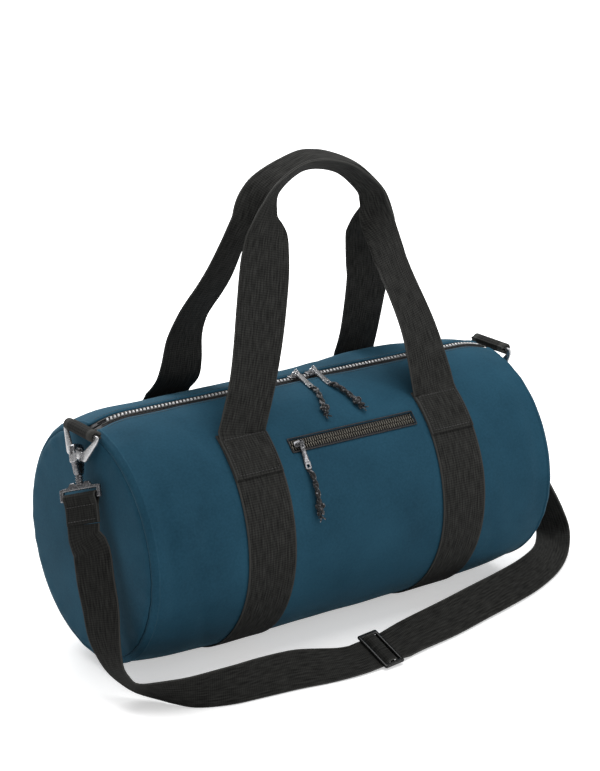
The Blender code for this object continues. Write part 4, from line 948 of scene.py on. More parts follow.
@dataclass(frozen=True)
class BarrelForm:
    """The filled cloth barrel: a rounded section, flattened where it stands, that drops at its ends."""

    half_length: float = 0.250
    half_width: float = 0.1238
    top: float = 0.2585
    sag: float = 0.0044
    base: float = 0.0019
    flat_depth: float = 0.0015
    straight_half: float = 0.205
    end_drop: float = 0.0095
    end_rise: float = 0.0100
    end_taper: float = 0.0045
    turned_length: float = 0.0034
    fold_gain: float = 1.5
    turned_depth: float = 0.0044
    ridge_height: float = 0.0013
    ridge_inset: float = 0.0052
    # Folds: x and angle at both ends, half width and depth in millimetres. Negative is a dip.
    folds: tuple[tuple[float, ...], ...] = (
        (-0.232, 20, -0.226, 120, 8, -1.3),
        (-0.214, 30, -0.216, 100, 8, 0.6),
        (-0.205, 95, -0.175, 60, 9, -0.6),
        (-0.175, 12, -0.150, 45, 8, -1.1),
        (-0.200, 100, -0.165, 145, 10, -1.3),
        (-0.212, 62, -0.180, 108, 8, 0.8),
        (0.236, 18, 0.230, 110, 8, -0.9),
        (0.214, 25, 0.216, 100, 9, 0.7),
        (0.165, 40, 0.195, 85, 9, -0.6),
        (0.160, 60, 0.200, 110, 10, -0.7),
        (0.155, 85, 0.185, 130, 10, -0.7),
        (-0.085, 75, -0.055, 130, 12, -0.5),
        (0.085, 70, 0.055, 120, 12, -0.5),
        (-0.080, 35, -0.040, 40, 8, -0.5),
        (0.080, 32, 0.040, 38, 8, -0.5),
        (-0.080, 20, 0.010, 22, 7, 0.35),
        (-0.090, 344, 0.150, 344, 18, 0.8),
        (0.050, 341, 0.190, 341, 18, 3.8),
    )

    def section(self, x: Array) -> tuple[Array, Array, Array, Array]:
        """Half width, centre height and the heights above and below it of the section at each x.

        Args:
            x: places along the barrel.

        Returns:
            The four, each with the shape of x.
        """
        share = np.clip(np.abs(x) / self.half_length, 0, 1)
        half_width = self.half_width - self.end_taper * share ** 4
        fall = np.clip((np.abs(x) - self.straight_half) / (self.half_length - self.straight_half), 0, 1)
        top = self.top - self.end_drop * fall ** 2
        bottom = self.base - self.flat_depth + self.end_rise * share ** 6
        centre = (top + bottom) / 2 - self.sag
        return half_width, centre, top - centre, centre - bottom

    def relief(self, x: Array, angle: Array) -> Array:
        """Height of the cloth's folds and slackness: ridges with a bell-shaped section, and slow waves.

        Args:
            x: places along the barrel.
            angle: angles round it.

        Returns:
            Heights in metres, outwards.
        """
        table = np.array(self.folds)
        girth = self.half_width
        spot = stacked(x, angle * girth)[..., None, :]
        first = stacked(table[:, 0], np.radians(table[:, 1]) * girth)
        last = stacked(table[:, 2], np.radians(table[:, 3]) * girth)
        run = last - first
        t = np.clip(((spot - first) * run).sum(-1) / (run * run).sum(-1), 0, 1)
        away = np.linalg.norm(spot - first - run * t[..., None], axis=-1)
        bell = np.exp(-(away / (table[:, 4] / 1000)) ** 2) * np.sin(math.pi * np.clip(t, 0.04, 0.96)) ** 0.6
        folds = (bell * table[:, 5] / 1000).sum(-1) * self.fold_gain
        waves = (0.00035 * np.sin(x * 46 + angle * 2.0 + 0.6) * np.sin(angle * 3.0 + 1.1)
                 + 0.00025 * np.sin(x * 91 - angle * 3.0) * np.sin(angle * 5.0 + x * 17))
        near_end = np.clip((np.abs(x) - self.half_length + 0.030) / 0.030, 0, 1)
        puckers = 0.00035 * near_end * np.sin(angle * 31 + 2.0 * np.sin(angle * 3)) * np.clip(
            np.sin(angle * 2.3 + 0.5) ** 2, 0.2, 1)
        ridge = self.ridge_height * np.exp(-((self.half_length - self.ridge_inset - np.abs(x)) / 0.0012) ** 2)
        return folds + waves + puckers + ridge

    def at(self, x: Array, angle: Array, offset: Array = 0.0, folded: bool = True) -> Array:
        """Points on the cloth, or above it by the offset.

        A point is the section's ellipse at its angle, moved out along the ellipse's normal, and lifted
        to the flat base where it would be below it. The cloth turns in at both end seams.

        Args:
            x: places along the barrel.
            angle: angles round it, 0 on top and rising towards the front.
            offset: heights above the cloth.
            folded: False to leave the folds out.

        Returns:
            Places, with one more axis than the arguments.
        """
        x, angle, offset = np.broadcast_arrays(*(np.asarray(value, dtype=float)
                                                 for value in (x, angle, offset)))
        half_width, centre, above, below = self.section(x)
        height = np.where(np.cos(angle) >= 0, above, below)
        across = -height * np.sin(angle)
        upwards = half_width * np.cos(angle)
        size = np.hypot(across, upwards)
        turned = np.clip((np.abs(x) - self.half_length + self.turned_length) / self.turned_length, 0, 1)
        inwards = self.turned_depth * (1 - np.sqrt(1 - turned ** 2))
        lift = offset - inwards + (self.relief(x, angle) if folded else 0.0)
        y = -half_width * np.sin(angle) + lift * across / size
        z = centre + height * np.cos(angle) + lift * upwards / size
        z = np.where(np.cos(angle) < 0, np.maximum(z, self.base - offset + inwards), z)
        return stacked(x, y, z)

    def angle_at(self, reach: float) -> float:
        """Angle at which the middle section is this far to the front."""
        return math.asin(reach / self.half_width)

    def turn_of(self, length: float) -> float:
        """Angle that this length takes along the girth."""
        return length / self.half_width

    def place(self, x: float, angle: float, height: float = 0.0) -> Place:
        """Axes on the cloth: X along the barrel, Y up the cloth and Z out of it.

        Args:
            x: place along the barrel.
            angle: angle round it.
            height: how far above the cloth.

        Returns:
            The axes.
        """
        origin = self.at(x, angle, height, folded=False)
        outwards = unit(self.at(x, angle, height + 0.001, folded=False) - origin)
        return Place(origin, X_AXIS, np.cross(outwards, X_AXIS), outwards)


BARREL = BarrelForm()


@dataclass(frozen=True)
class PocketSlit:
    """The front pocket's slit: its ends along the barrel, how far its middle is to the front, its height."""

    left: float = -0.0700
    right: float = 0.0840
    reach: float = 0.0870
    height: float = 0.0130

    @property
    def middle(self) -> float:
        """Angle of its middle line."""
        return BARREL.angle_at(self.reach)

    @property
    def angles(self) -> tuple[float, float]:
        """Angles of its upper and lower edges."""
        half = BARREL.turn_of(self.height / 2)
        return self.middle - half, self.middle + half


SLIT = PocketSlit()


@dataclass(frozen=True)
class Webbing:
    """Flat woven webbing of one width: its section, and ribbons and laid strips made with it."""

    width: float
    thickness: float = 0.0016
    columns: int = 15

    def section(self, visible: Array | None = None, crease: float = 0.0019) -> tuple[Array, Array]:
        """Closed section of the webbing, whose far edge is folded under where less of it is to be seen.

        The section's middle line runs straight for the visible width, turns half a circle within the
        crease and runs back. Its two faces lie half a thickness to each side of that line.

        Args:
            visible: width to be seen at each station, or None for flat webbing.
            crease: half the length over which the webbing turns.

        Returns:
            stations x columns x 2 loops, and the distance across the webbing of each loop point.
        """
        half = self.width / 2
        shown = np.atleast_1d(self.width if visible is None else visible)[:, None]
        hidden = smooth_step((self.width - shown) / (self.width * 0.12))
        bend = shown - half + crease * (1.0 - 0.65 * hidden)
        fine = np.linspace(-half, half, 361)
        step = fine[1] - fine[0]
        turns = math.pi * smooth_step((fine[None] - bend + crease) / (2 * crease))
        lines = stacked(np.cumsum(np.cos(turns), axis=1), np.cumsum(np.sin(turns), axis=1)) * step
        first = np.minimum(bend - crease, half - 0.0008)
        last = np.minimum(bend + crease, half - 0.0004)
        flat = np.linspace(0, 1, self.columns)[None, :-1]
        places = np.concatenate([-half + (first + half) * flat,
                                 first + (last - first) * np.linspace(0, 1, 7)[None, :-1],
                                 last + (half - last) * np.linspace(0, 1, 5)[None]], axis=1)
        spots = np.clip((places + half) / step, 0, 359.999)
        low = spots.astype(int)
        share = spots - low
        turn = np.take_along_axis(turns, low, 1) * (1 - share) + np.take_along_axis(turns, low + 1, 1) * share
        rows = np.arange(len(lines))[:, None]
        centre = lines[rows, low] * (1 - share[..., None]) + lines[rows, low + 1] * share[..., None]
        centre = centre - stacked(shown / 2, (centre[..., 1].max(1) + centre[..., 1].min(1))[:, None] / 2)
        normal = stacked(-np.sin(turn), np.cos(turn))
        along = stacked(np.cos(turn), np.sin(turn))
        rim = self.thickness / 2
        lower, upper = centre - normal * rim, centre + normal * rim
        right = centre[:, -1:] + along[:, -1:] * rim * 0.7
        left = centre[:, :1] - along[:, :1] * rim * 0.7
        loop = np.concatenate([lower, right, upper[:, ::-1], left], axis=1)
        edge = np.full((len(places), 1), half + rim)
        across = np.concatenate([places, edge, places[:, ::-1], -edge], axis=1)
        return loop, across

    def ribbon(self, name: str, centres: Array, widths: Array, material: bpy.types.Material,
               visible: Array | None = None, layers: Array | float = 1.0) -> bpy.types.Object:
        """A length of webbing along a line.

        Args:
            name: the piece's name.
            centres: rows x 3 middles of the webbing that shows.
            widths: rows x 3 directions from edge to edge.
            material: its finish.
            visible: width to be seen at each row, where the rest is folded under, or None.
            layers: how many thicknesses lie on each other at each row.

        Returns:
            The piece.
        """
        loops, across = self.section(np.full(len(centres), self.width) if visible is None else visible)
        side = unit(widths)
        normal = unit(np.cross(tangents_of(centres), side))
        side = np.cross(normal, tangents_of(centres))
        loops[..., 1] *= np.broadcast_to(np.asarray(layers, dtype=float), (len(centres),))[:, None]
        points = carried(loops, centres, side, normal)
        along = lengths_along(centres)
        closed = np.concatenate([across, across[:, :1]], axis=1)
        uvs = stacked(closed, along[:, None])
        return surface(name, points, uvs, material, wrap_columns=True, capped=True, smooth_angle=65)

    def laid(self, name: str, x_middle: float, angles: Array, offset: float,
             material: bpy.types.Material) -> bpy.types.Object:
        """A strip of webbing laid round the barrel, its section carried over the cloth.

        Args:
            name: the piece's name.
            x_middle: where its middle lies along the barrel.
            angles: angles round the barrel, from one end to the other.
            offset: height of its underside above the cloth.
            material: its finish.

        Returns:
            The piece.
        """
        loops, crossings = self.section()
        loop, across = loops[0], crossings[0]
        points = BARREL.at(x_middle + loop[None, :, 0], angles[:, None],
                           offset + self.thickness / 2 + loop[None, :, 1])
        along = angles * BARREL.half_width
        closed = np.concatenate([across, across[:1]])
        uvs = stacked(closed[None], along[:, None])
        return surface(name, points, uvs, material, wrap_columns=True, capped=True, smooth_angle=65)


@dataclass(frozen=True)
class StitchRow:
    """Machine stitches: small rounded bars of thread, sunk a little into what they sew."""

    pitch: float = 0.0034
    length: float = 0.0027
    width: float = 0.0009
    height: float = 0.0008

    def along(self, name: str, path: Array, normals: Array, material: bpy.types.Material) -> bpy.types.Object:
        """Stitches along a line.

        Args:
            name: the piece's name.
            path: rows x 3 places of the line.
            normals: rows x 3 directions out of the surface.
            material: the thread.

        Returns:
            The piece.
        """
        lengths = lengths_along(path)
        count = max(int(lengths[-1] / self.pitch), 1)
        places = (np.arange(count) + 0.5) * lengths[-1] / count
        spots = sampled(places, lengths, path)
        outwards = unit(sampled(places, lengths, normals))
        runs = sampled(places, lengths, tangents_of(path))
        sideways = unit(np.cross(outwards, runs))
        frames = np.stack([np.cross(sideways, outwards), sideways, outwards], axis=1)
        template, faces = lozenge(self.length, self.width, self.height)
        points, all_faces = many(template, faces, spots, frames)
        return plain_mesh(name, points, all_faces, material)

    def on_cloth(self, name: str, xs: Array, angles: Array, height: float,
                 material: bpy.types.Material) -> bpy.types.Object:
        """Stitches along a line on the barrel, given by its places along and round it.

        Args:
            name: the piece's name.
            xs: places along the barrel.
            angles: angles round it.
            height: how far above the cloth.
            material: its finish.

        Returns:
            The piece.
        """
        path = BARREL.at(xs, angles, height)
        normals = unit(BARREL.at(xs, angles, height + 0.002) - path)
        return self.along(name, path, normals, material)


def straight(first: tuple[float, float], last: tuple[float, float], count: int = 24) -> tuple[Array, Array]:
    """Evenly spaced places on the barrel between two (x, angle) places."""
    return np.linspace(first[0], last[0], count), np.linspace(first[1], last[1], count)


# Camera, floor and light


@dataclass(frozen=True)
class PhotoCamera:
    """The photograph's camera, found by fitting the bag's measured corners."""

    azimuth: float = math.radians(-35.518)
    elevation: float = math.radians(17.555)
    roll: float = math.radians(0.172)
    distance: float = 2.1359
    focal_pixels: float = 2110.1
    image_height: int = 771
    sensor: float = 36.0
    target: tuple[float, float, float] = (-0.021, -0.0343, 0.2601)

    def build(self) -> None:
        """Create the camera and make it the scene's."""
        flat = math.cos(self.elevation)
        back = np.array([math.sin(self.azimuth) * flat, -math.cos(self.azimuth) * flat,
                         math.sin(self.elevation)])
        right = np.array([math.cos(self.azimuth), math.sin(self.azimuth), 0.0])
        up = np.cross(back, right)
        cosine, sine = math.cos(self.roll), math.sin(self.roll)
        turned_right, turned_up = cosine * right + sine * up, cosine * up - sine * right
        place = np.array(self.target) + back * self.distance
        data = bpy.data.cameras.new("photo_camera")
        data.sensor_fit = "VERTICAL"
        data.sensor_height = self.sensor
        data.lens = self.focal_pixels / self.image_height * self.sensor
        data.clip_end = 20.0
        camera = bpy.data.objects.new("photo_camera", data)
        matrix = np.eye(4)
        matrix[:3] = np.column_stack([turned_right, turned_up, back, place])
        camera.matrix_world = Matrix(matrix.tolist())
        bpy.context.scene.collection.objects.link(camera)
        bpy.context.scene.camera = camera


@dataclass(frozen=True)
class SoftLamp:
    """One square softbox that looks at the bag."""

    name: str
    place: tuple[float, float, float]
    size: float
    power: float
    target: tuple[float, float, float] = (0.0, 0.0, 0.12)

    def build(self) -> None:
        """Create the lamp."""
        data = bpy.data.lights.new(self.name, "AREA")
        data.shape = "SQUARE"
        data.size = self.size
        data.energy = self.power
        lamp = bpy.data.objects.new(self.name, data)
        origin = np.array(self.place)
        back = unit(origin - np.array(self.target))
        right = unit(np.cross(Y_AXIS if abs(back[2]) > 0.95 else Z_AXIS, back))
        matrix = np.eye(4)
        matrix[:3] = np.column_stack([right, np.cross(back, right), back, origin])
        lamp.matrix_world = Matrix(matrix.tolist())
        bpy.context.scene.collection.objects.link(lamp)


@dataclass(frozen=True)
class Studio:
    """A white sweep under and behind the bag, lit softly from above, behind, the right front and the left."""

    lamps: tuple[SoftLamp, ...] = (SoftLamp("overhead_softbox", (0.3, -0.4, 2.2), size=1.6, power=25.0),
                                   SoftLamp("left_softbox", (-2.2, -1.0, 1.3), size=1.3, power=3.5),
                                   SoftLamp("front_softbox", (1.5, -1.7, 1.0), size=1.1, power=9.5),
                                   SoftLamp("back_softbox", (-0.2, 1.8, 1.7), size=1.2, power=42.0))
    world_strength: float = 0.28
    floor_colour: str = "f4f4f4"
    floor_glow: float = 0.47
    fade_start: float = 0.45
    fade_stop: float = 1.3
    floor_half: float = 6.0

    def build(self) -> None:
        """Create the world, the floor and the lamps."""
        bpy.context.scene.view_settings.view_transform = "Standard"
        world = bpy.data.worlds.new("studio")
        bpy.context.scene.world = world
        world.use_nodes = True
        tree = world.node_tree
        tree.nodes.clear()
        rays = add_node(tree, "ShaderNodeLightPath")
        strength = add_node(tree, "ShaderNodeMapRange", None, {"Value": rays.outputs["Is Camera Ray"],
                                                               "To Min": self.world_strength,
                                                               "To Max": 1.0})
        backdrop = add_node(tree, "ShaderNodeBackground", None,
                            {"Color": (1.0, 1.0, 1.0, 1.0), "Strength": strength.outputs["Result"]})
        output = add_node(tree, "ShaderNodeOutputWorld")
        tree.links.new(backdrop.outputs["Background"], output.inputs["Surface"])
        self.lay_floor()
        for lamp in self.lamps:
            lamp.build()

    def lay_floor(self) -> None:
        """White painted board: diffuse, with a glow for the camera that rises to white far from the bag."""
        material = bpy.data.materials.new("painted_board")
        material.use_nodes = True
        tree = material.node_tree
        tree.nodes.clear()
        coordinates = add_node(tree, "ShaderNodeTexCoord")
        grain = add_node(tree, "ShaderNodeTexNoise", None,
                         {"Vector": coordinates.outputs["Object"], "Scale": 30.0})
        tone = add_node(tree, "ShaderNodeMix", {"data_type": "RGBA"},
                        {0: grain.outputs["Fac"], 6: linear(self.floor_colour), 7: linear("f8f8f8")})
        matte = add_node(tree, "ShaderNodeBsdfDiffuse", None, {"Color": tone.outputs[2]})
        rays = add_node(tree, "ShaderNodeLightPath")
        reach = add_node(tree, "ShaderNodeVectorMath", {"operation": "LENGTH"},
                         {0: coordinates.outputs["Object"]})
        fade = add_node(tree, "ShaderNodeMapRange", None,
                        {"Value": reach.outputs["Value"], "From Min": self.fade_start,
                         "From Max": self.fade_stop, "To Min": self.floor_glow, "To Max": 1.0})
        glow = add_node(tree, "ShaderNodeMath", {"operation": "MULTIPLY"},
                        {0: rays.outputs["Is Camera Ray"], 1: fade.outputs["Result"]})
        shine = add_node(tree, "ShaderNodeEmission", None, {"Strength": glow.outputs["Value"]})
        whole = add_node(tree, "ShaderNodeAddShader", None,
                         {0: matte.outputs["BSDF"], 1: shine.outputs["Emission"]})
        output = add_node(tree, "ShaderNodeOutputMaterial", None, {"Surface": whole.outputs["Shader"]})
        tree.nodes.active = output
        half = self.floor_half
        corners = np.array([[[-half, -half, 0], [half, -half, 0]], [[-half, half, 0], [half, half, 0]]],
                           dtype=float)
        floor = surface("floor", corners, corners[..., :2], material, outwards=False)


# Barrel


@dataclass
class BarrelCloth:
    """Cloth barrel with its two domed ends."""

    cloth: bpy.types.Material
    thread: bpy.types.Material
    thickness: float = 0.0016
    slot_half: float = 0.0085
    bulge: float = 0.0042
    seam_inset: float = 0.0002
    edge_turn: float = 0.0030
    edge_sink: float = 0.0010
    # The stitches beside the zip: their ends along the barrel and how far from the cloth's edge they run.
    stitch_ends: tuple[float, float] = (-0.236, 0.240)
    stitch_inset: float = 0.0045
    cell: float = 0.0036

    @property
    def slot_angles(self) -> tuple[float, float]:
        """Angles of the zip slot's front and back edges.

        Returns:
            The front angle and the back one.
        """
        front = math.asin((self.slot_half - ZIP_Y) / BARREL.half_width)
        back = TURN + math.asin((-self.slot_half - ZIP_Y) / BARREL.half_width)
        return front, back

    def build(self) -> None:
        """Make the tube and both ends."""
        self.make_tube()
        for side in Side:
            self.make_end(side)

    def make_tube(self) -> None:
        """Sheet over the whole girth between the slot's edges, with the pocket's slit left open."""
        front, back = self.slot_angles
        high, low = SLIT.angles
        half = BARREL.half_length
        turned = half - BARREL.turned_length
        xs = lines_with([-half, -turned, turned, half, SLIT.left, SLIT.right], self.cell)
        ends = np.concatenate([np.linspace(half - 0.0110, turned, 11), np.linspace(turned, half, 6)[1:-1]])
        xs = np.unique(np.round(np.concatenate([xs, ends, -ends]), 7))
        edge = BARREL.turn_of(self.edge_turn)
        angles = lines_with([front, front + edge, high, low, back - edge, back], BARREL.turn_of(self.cell))
        near = np.minimum(angles - front, back - angles) / edge
        sink = -self.edge_sink * (1 - np.clip(near, 0, 1)) ** 2
        points = BARREL.at(xs[:, None], angles[None], sink[None])
        girth = (angles - math.pi) * BARREL.half_width
        uvs = stacked(xs[:, None], girth[None])
        middle_x, middle_angle = (xs[1:] + xs[:-1]) / 2, (angles[1:] + angles[:-1]) / 2
        inside = (((middle_x > SLIT.left) & (middle_x < SLIT.right))[:, None]
                  & ((middle_angle > high) & (middle_angle < low))[None])
        tube = surface("barrel_cloth", points, uvs, self.cloth, keep=~inside, outwards=False, smooth_angle=80)
        thicken(tube, self.thickness)
        settle(tube, "bag", "canvas", "barrel_panel")
        rows = StitchRow(pitch=0.0032, length=0.0026, width=0.0006, height=0.0005)
        seam = BARREL.turn_of(self.stitch_inset)
        for angle, word in ((front + seam, "front"), (back - seam, "back")):
            path = straight((self.stitch_ends[0], angle), (self.stitch_ends[1], angle), count=160)
            settle(rows.on_cloth("zip_stitches_" + word, *path, 0.0001, self.thread), "bag", "canvas")

    def make_end(self, side: Side) -> None:
        """Domed round panel: rings of the barrel's girth shrink to its middle and rise out of the seam.

        Args:
            side: which end of the bag.
        """
        angles = np.linspace(0, TURN, 150, endpoint=False)
        shares = np.concatenate([[1.0, 0.996, 0.988, 0.975, 0.955], np.linspace(0.92, 0.0005, 26)])
        x = side.value * BARREL.half_length
        rim = BARREL.at(x, angles, -0.0002)
        middle = np.array([0.0, 0.0, float(BARREL.section(np.array(x))[1])])
        flat = middle + (rim - middle)[None] * np.array([0.0, 1.0, 1.0]) * shares[:, None, None]
        rounding = 0.0022 * np.sqrt(np.clip((1 - shares) / 0.035, 0, 1))
        dome = self.bulge * (1 - shares ** 2.2)
        slack = 0.0006 * np.sin(angles * 2 + 0.7)[None] * np.sin(shares * 5.0)[:, None]
        puckers = 0.0005 * np.sin(angles * 27)[None] * np.clip((shares - 0.8) / 0.2, 0, 1)[:, None]
        rise = (rounding + dome)[:, None] * 0.93 + slack + puckers * (shares < 0.99)[:, None]
        flat[..., 0] = side.value * (BARREL.half_length - self.seam_inset + rise)
        closed = np.concatenate([angles, [TURN]])
        reach = shares[:, None] * BARREL.half_width
        uvs = stacked(reach * np.cos(closed)[None], reach * np.sin(closed)[None])
        shown = surface("end_cloth_" + side.word, flat, uvs, self.cloth, wrap_columns=True, outwards=False,
                        smooth_angle=80)
        if side is Side.LEFT:
            shown.data.flip_normals()
        thicken(shown, self.thickness)
        settle(shown, "bag", "canvas", "end_panel_" + side.word)


def thicken(piece: bpy.types.Object, thickness: float) -> None:
    """Give a cloth surface its thickness, inwards from its shown face.

    Args:
        piece: the piece.
        thickness: how thick the cloth is.
    """
    solid = piece.modifiers.new("cloth_thickness", "SOLIDIFY")
    solid.thickness = thickness
    solid.offset = -1.0
    solid.use_even_offset = False


# Bands and carry handles


@dataclass
class CarryHandles:
    """Two webbing bands round the barrel and the two carry handles sewn over them."""

    webbing: bpy.types.Material
    thread: bpy.types.Material
    band: Webbing = field(default_factory=lambda: Webbing(width=0.0550))
    strip: Webbing = field(default_factory=lambda: Webbing(width=0.0540, columns=19))
    gap: float = 0.0003
    spacing: float = 0.2414
    shift: float = 0.0038
    stitch_top: float = 0.0660
    stitch_low: float = 0.1010
    hinge_inset: float = 0.0030
    # The box of stitches' distance from the webbing's edges, and the bend's start and end above the foot.
    stitch_inset: float = 0.0035
    bend_start: float = -0.001
    bend_end: float = 0.022
    half_span: float = 0.1207
    reach: float = 0.0690
    rise: float = 0.2450
    # Along the bag, inwards and upwards as shares, then the edge-to-edge direction as shares of the width.
    front_rows: tuple[tuple[float, ...], ...] = (
        (-0.97, 0.00, 0.00, 1.00, 0.00, 0.00),
        (-0.85, 0.06, 0.165, 1.00, 0.00, -0.05),
        (-0.76, 0.145, 0.31, 1.00, -0.05, -0.04),
        (-0.66, 0.29, 0.47, 1.00, -0.12, -0.04),
        (-0.57, 0.435, 0.62, 1.00, -0.10, -0.04),
        (-0.50, 0.55, 0.745, 0.94, 0.13, -0.15),
        (-0.46, 0.63, 0.83, 0.60, 0.31, -0.20),
        (-0.355, 0.65, 0.92, 0.32, 0.36, -0.22),
        (-0.075, 0.62, 0.995, 0.17, 0.42, -0.24),
        (0.27, 0.59, 0.97, 0.00, 0.46, -0.22),
        (0.55, 0.61, 0.87, -0.24, 0.42, -0.13),
        (0.64, 0.67, 0.80, -0.37, 0.36, -0.05),
        (0.705, 0.75, 0.725, -0.60, 0.19, 0.04),
        (0.76, 0.70, 0.635, -0.83, -0.11, 0.15),
        (0.82, 0.55, 0.505, -0.945, -0.24, 0.20),
        (0.95, 0.245, 0.26, -0.98, -0.185, 0.13),
        (1.03, 0.00, 0.00, -1.00, 0.00, 0.00),
    )
    back_rows: tuple[tuple[float, ...], ...] = (
        (-0.97, 0.00, 0.00, 1.00, 0.00, 0.00),
        (-0.95, 0.30, 0.085, 1.00, 0.06, -0.07),
        (-0.935, 0.39, 0.165, 0.98, 0.15, -0.09),
        (-0.91, 0.41, 0.27, 0.945, 0.28, -0.13),
        (-0.86, 0.48, 0.36, 0.89, 0.39, -0.22),
        (-0.795, 0.58, 0.435, 0.83, 0.41, -0.30),
        (-0.68, 0.70, 0.54, 0.76, 0.33, -0.30),
        (-0.58, 0.78, 0.655, 0.61, 0.20, -0.26),
        (-0.49, 0.825, 0.75, 0.47, 0.00, -0.22),
        (-0.315, 0.855, 0.89, 0.20, -0.44, -0.20),
        (0.085, 0.855, 0.98, 0.06, -0.50, -0.14),
        (0.33, 0.855, 0.985, 0.04, -0.50, -0.12),
        (0.555, 0.86, 0.955, 0.00, -0.50, -0.10),
        (0.73, 0.87, 0.91, -0.12, -0.48, -0.06),
        (0.81, 0.86, 0.85, -0.38, -0.38, 0.00),
        (0.88, 0.82, 0.765, -0.68, -0.14, 0.02),
        (0.93, 0.69, 0.665, -0.90, 0.18, 0.05),
        (0.98, 0.55, 0.575, -0.95, 0.28, 0.07),
        (1.02, 0.435, 0.475, -0.98, 0.15, 0.07),
        (1.035, 0.36, 0.375, -1.00, 0.02, 0.07),
        (1.03, 0.19, 0.15, -1.00, -0.06, 0.02),
        (1.03, 0.00, 0.00, -1.00, 0.00, 0.00),
    )

    def middle(self, side: Side) -> float:
        """Where a band's middle lies along the barrel."""
        return self.shift + side.value * self.spacing / 2

    @property
    def patch_offset(self) -> float:
        """Height of a handle's sewn end above the cloth."""
        return 2 * self.gap + self.band.thickness

    def build(self) -> None:
        """Make the bands, the handles and their stitching."""
        top, low = BARREL.angle_at(self.stitch_top), BARREL.angle_at(self.stitch_low)
        for side in Side:
            angles = lines_with([top, TURN - top], BARREL.turn_of(0.0040))
            band = self.band.laid("band_" + side.word + "_webbing", self.middle(side), angles, self.gap,
                                  self.webbing)
            settle(band, "bag", "webbing", "band_" + side.word)
        self.make_handle(Face.FRONT, self.front_rows)
        self.make_handle(Face.BACK, self.back_rows)
        for side in Side:
            for face in Face:
                self.sew_foot(side, face, top, low)

    def make_handle(self, face: Face, rows: tuple[tuple[float, ...], ...]) -> None:
        """One handle: sewn end, leg, folded grip, leg and sewn end, as one length of webbing.

        Args:
            face: the front or the back.
            rows: the table's rows along its route, from one sewn end to the other.
        """
        height = self.patch_offset + self.strip.thickness / 2
        hinge = BARREL.angle_at(self.stitch_top) + BARREL.turn_of(self.hinge_inset)
        foot = BARREL.at(0.0, face.value * hinge, height + self.gap + self.strip.thickness, folded=False)
        table = spline_through(np.array(rows), count=220)
        centres = stacked(table[:, 0] * self.half_span, foot[1] + face.value * table[:, 1] * self.reach,
                          foot[2] + table[:, 2] * self.rise)
        widths = table[:, 3:] * self.strip.width
        sewn = np.linspace(BARREL.angle_at(self.stitch_low), BARREL.angle_at(self.stitch_top), 14)
        ends = []
        for side in Side:
            path = BARREL.at(self.middle(side), face.value * sewn, height)
            across = np.tile(X_AXIS * -side.value * self.strip.width, (len(path), 1))
            ends.append((path, across))
        left_path, left_across = ends[0]
        right_path, right_across = ends[1]
        skip = 3
        centres = np.concatenate([left_path[:-1], centres[skip:-skip], right_path[::-1][1:]])
        widths = np.concatenate([left_across[:-1], widths[skip:-skip], right_across[1:]])
        visible = np.clip(np.linalg.norm(widths, axis=1), self.strip.width / 2, self.strip.width)
        name = face.word + "_handle"
        handle = self.strip.ribbon(name + "_webbing", centres, widths, self.webbing, visible)
        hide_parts(name, f"handle_foot_{face.word}_left", f"handle_foot_{face.word}_right")
        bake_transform(handle)
        LOG.info("%s: %d faces, bending from bag to %s", handle.name, len(handle.data.polygons), name)

    def sew_foot(self, side: Side, face: Face, top: float, low: float) -> None:
        """Box of stitches round a handle's sewn end, with a second row at its top.

        Args:
            side: which end of the bag.
            face: the front or the back.
            top: angle of its upper edge.
            low: angle of its lower edge.
        """
        middle = self.middle(side)
        half = self.strip.width / 2 - self.stitch_inset
        inset = BARREL.turn_of(self.stitch_inset)
        height = self.patch_offset + self.strip.thickness + 0.0001
        high, deep = face.value * (top + 2.2 * inset), face.value * (low - inset)
        corners = [(middle - half, high), (middle + half, high), (middle + half, deep), (middle - half, deep)]
        rows = StitchRow()
        pieces = [rows.on_cloth("row", *straight(corners[index], corners[(index + 1) % 4]), height,
                                self.thread) for index in range(4)]
        settle(joined(f"foot_stitches_{face.word}_{side.word}", pieces), "bag", "webbing")


# Shoulder strap and its fittings


@dataclass(frozen=True)
class FittingFrames:
    """Where the end rings and snap hooks hang."""

    axis_x: float = 0.258
    axis_y: float = ZIP_Y
    axis_z: float = 0.2502
    lean: float = math.radians(13.0)
    foot_drop: float = 0.0245
    hook_reach: float = 0.0416
    # Direction down the strap at each hook, and of the hook's bar: left, then right.
    hangs: tuple[tuple[float, float, float], ...] = ((-0.17, -0.42, -0.89), (0.17, 0.00, -0.985))
    bars: tuple[tuple[float, float, float], ...] = ((0.44, -0.82, 0.36), (0.00, -1.00, 0.00))

    def ring_axis(self, side: Side) -> Array:
        """Centre of a ring's top bar."""
        return np.array([side.value * self.axis_x, self.axis_y, self.axis_z])

    def ring_down(self, side: Side) -> Array:
        """Direction in which a ring hangs."""
        return np.array([side.value * math.sin(self.lean), 0.0, -math.cos(self.lean)])

    def ring_foot(self, side: Side) -> Array:
        """Centre of the bar that the hook hangs on."""
        return self.ring_axis(side) + self.ring_down(side) * self.foot_drop

    def hook(self, side: Side) -> Place:
        """Axes at a hook's strap bar: Y up the hook, X along the bar and Z out of the strap.

        Args:
            side: which end of the bag.

        Returns:
            The axes.
        """
        index = 0 if side is Side.LEFT else 1
        down = unit(np.array(self.hangs[index]))
        return Place.across_and_up(np.array(self.bars[index]), -down,
                                   self.ring_foot(side) + down * self.hook_reach)


FITTINGS = FittingFrames()


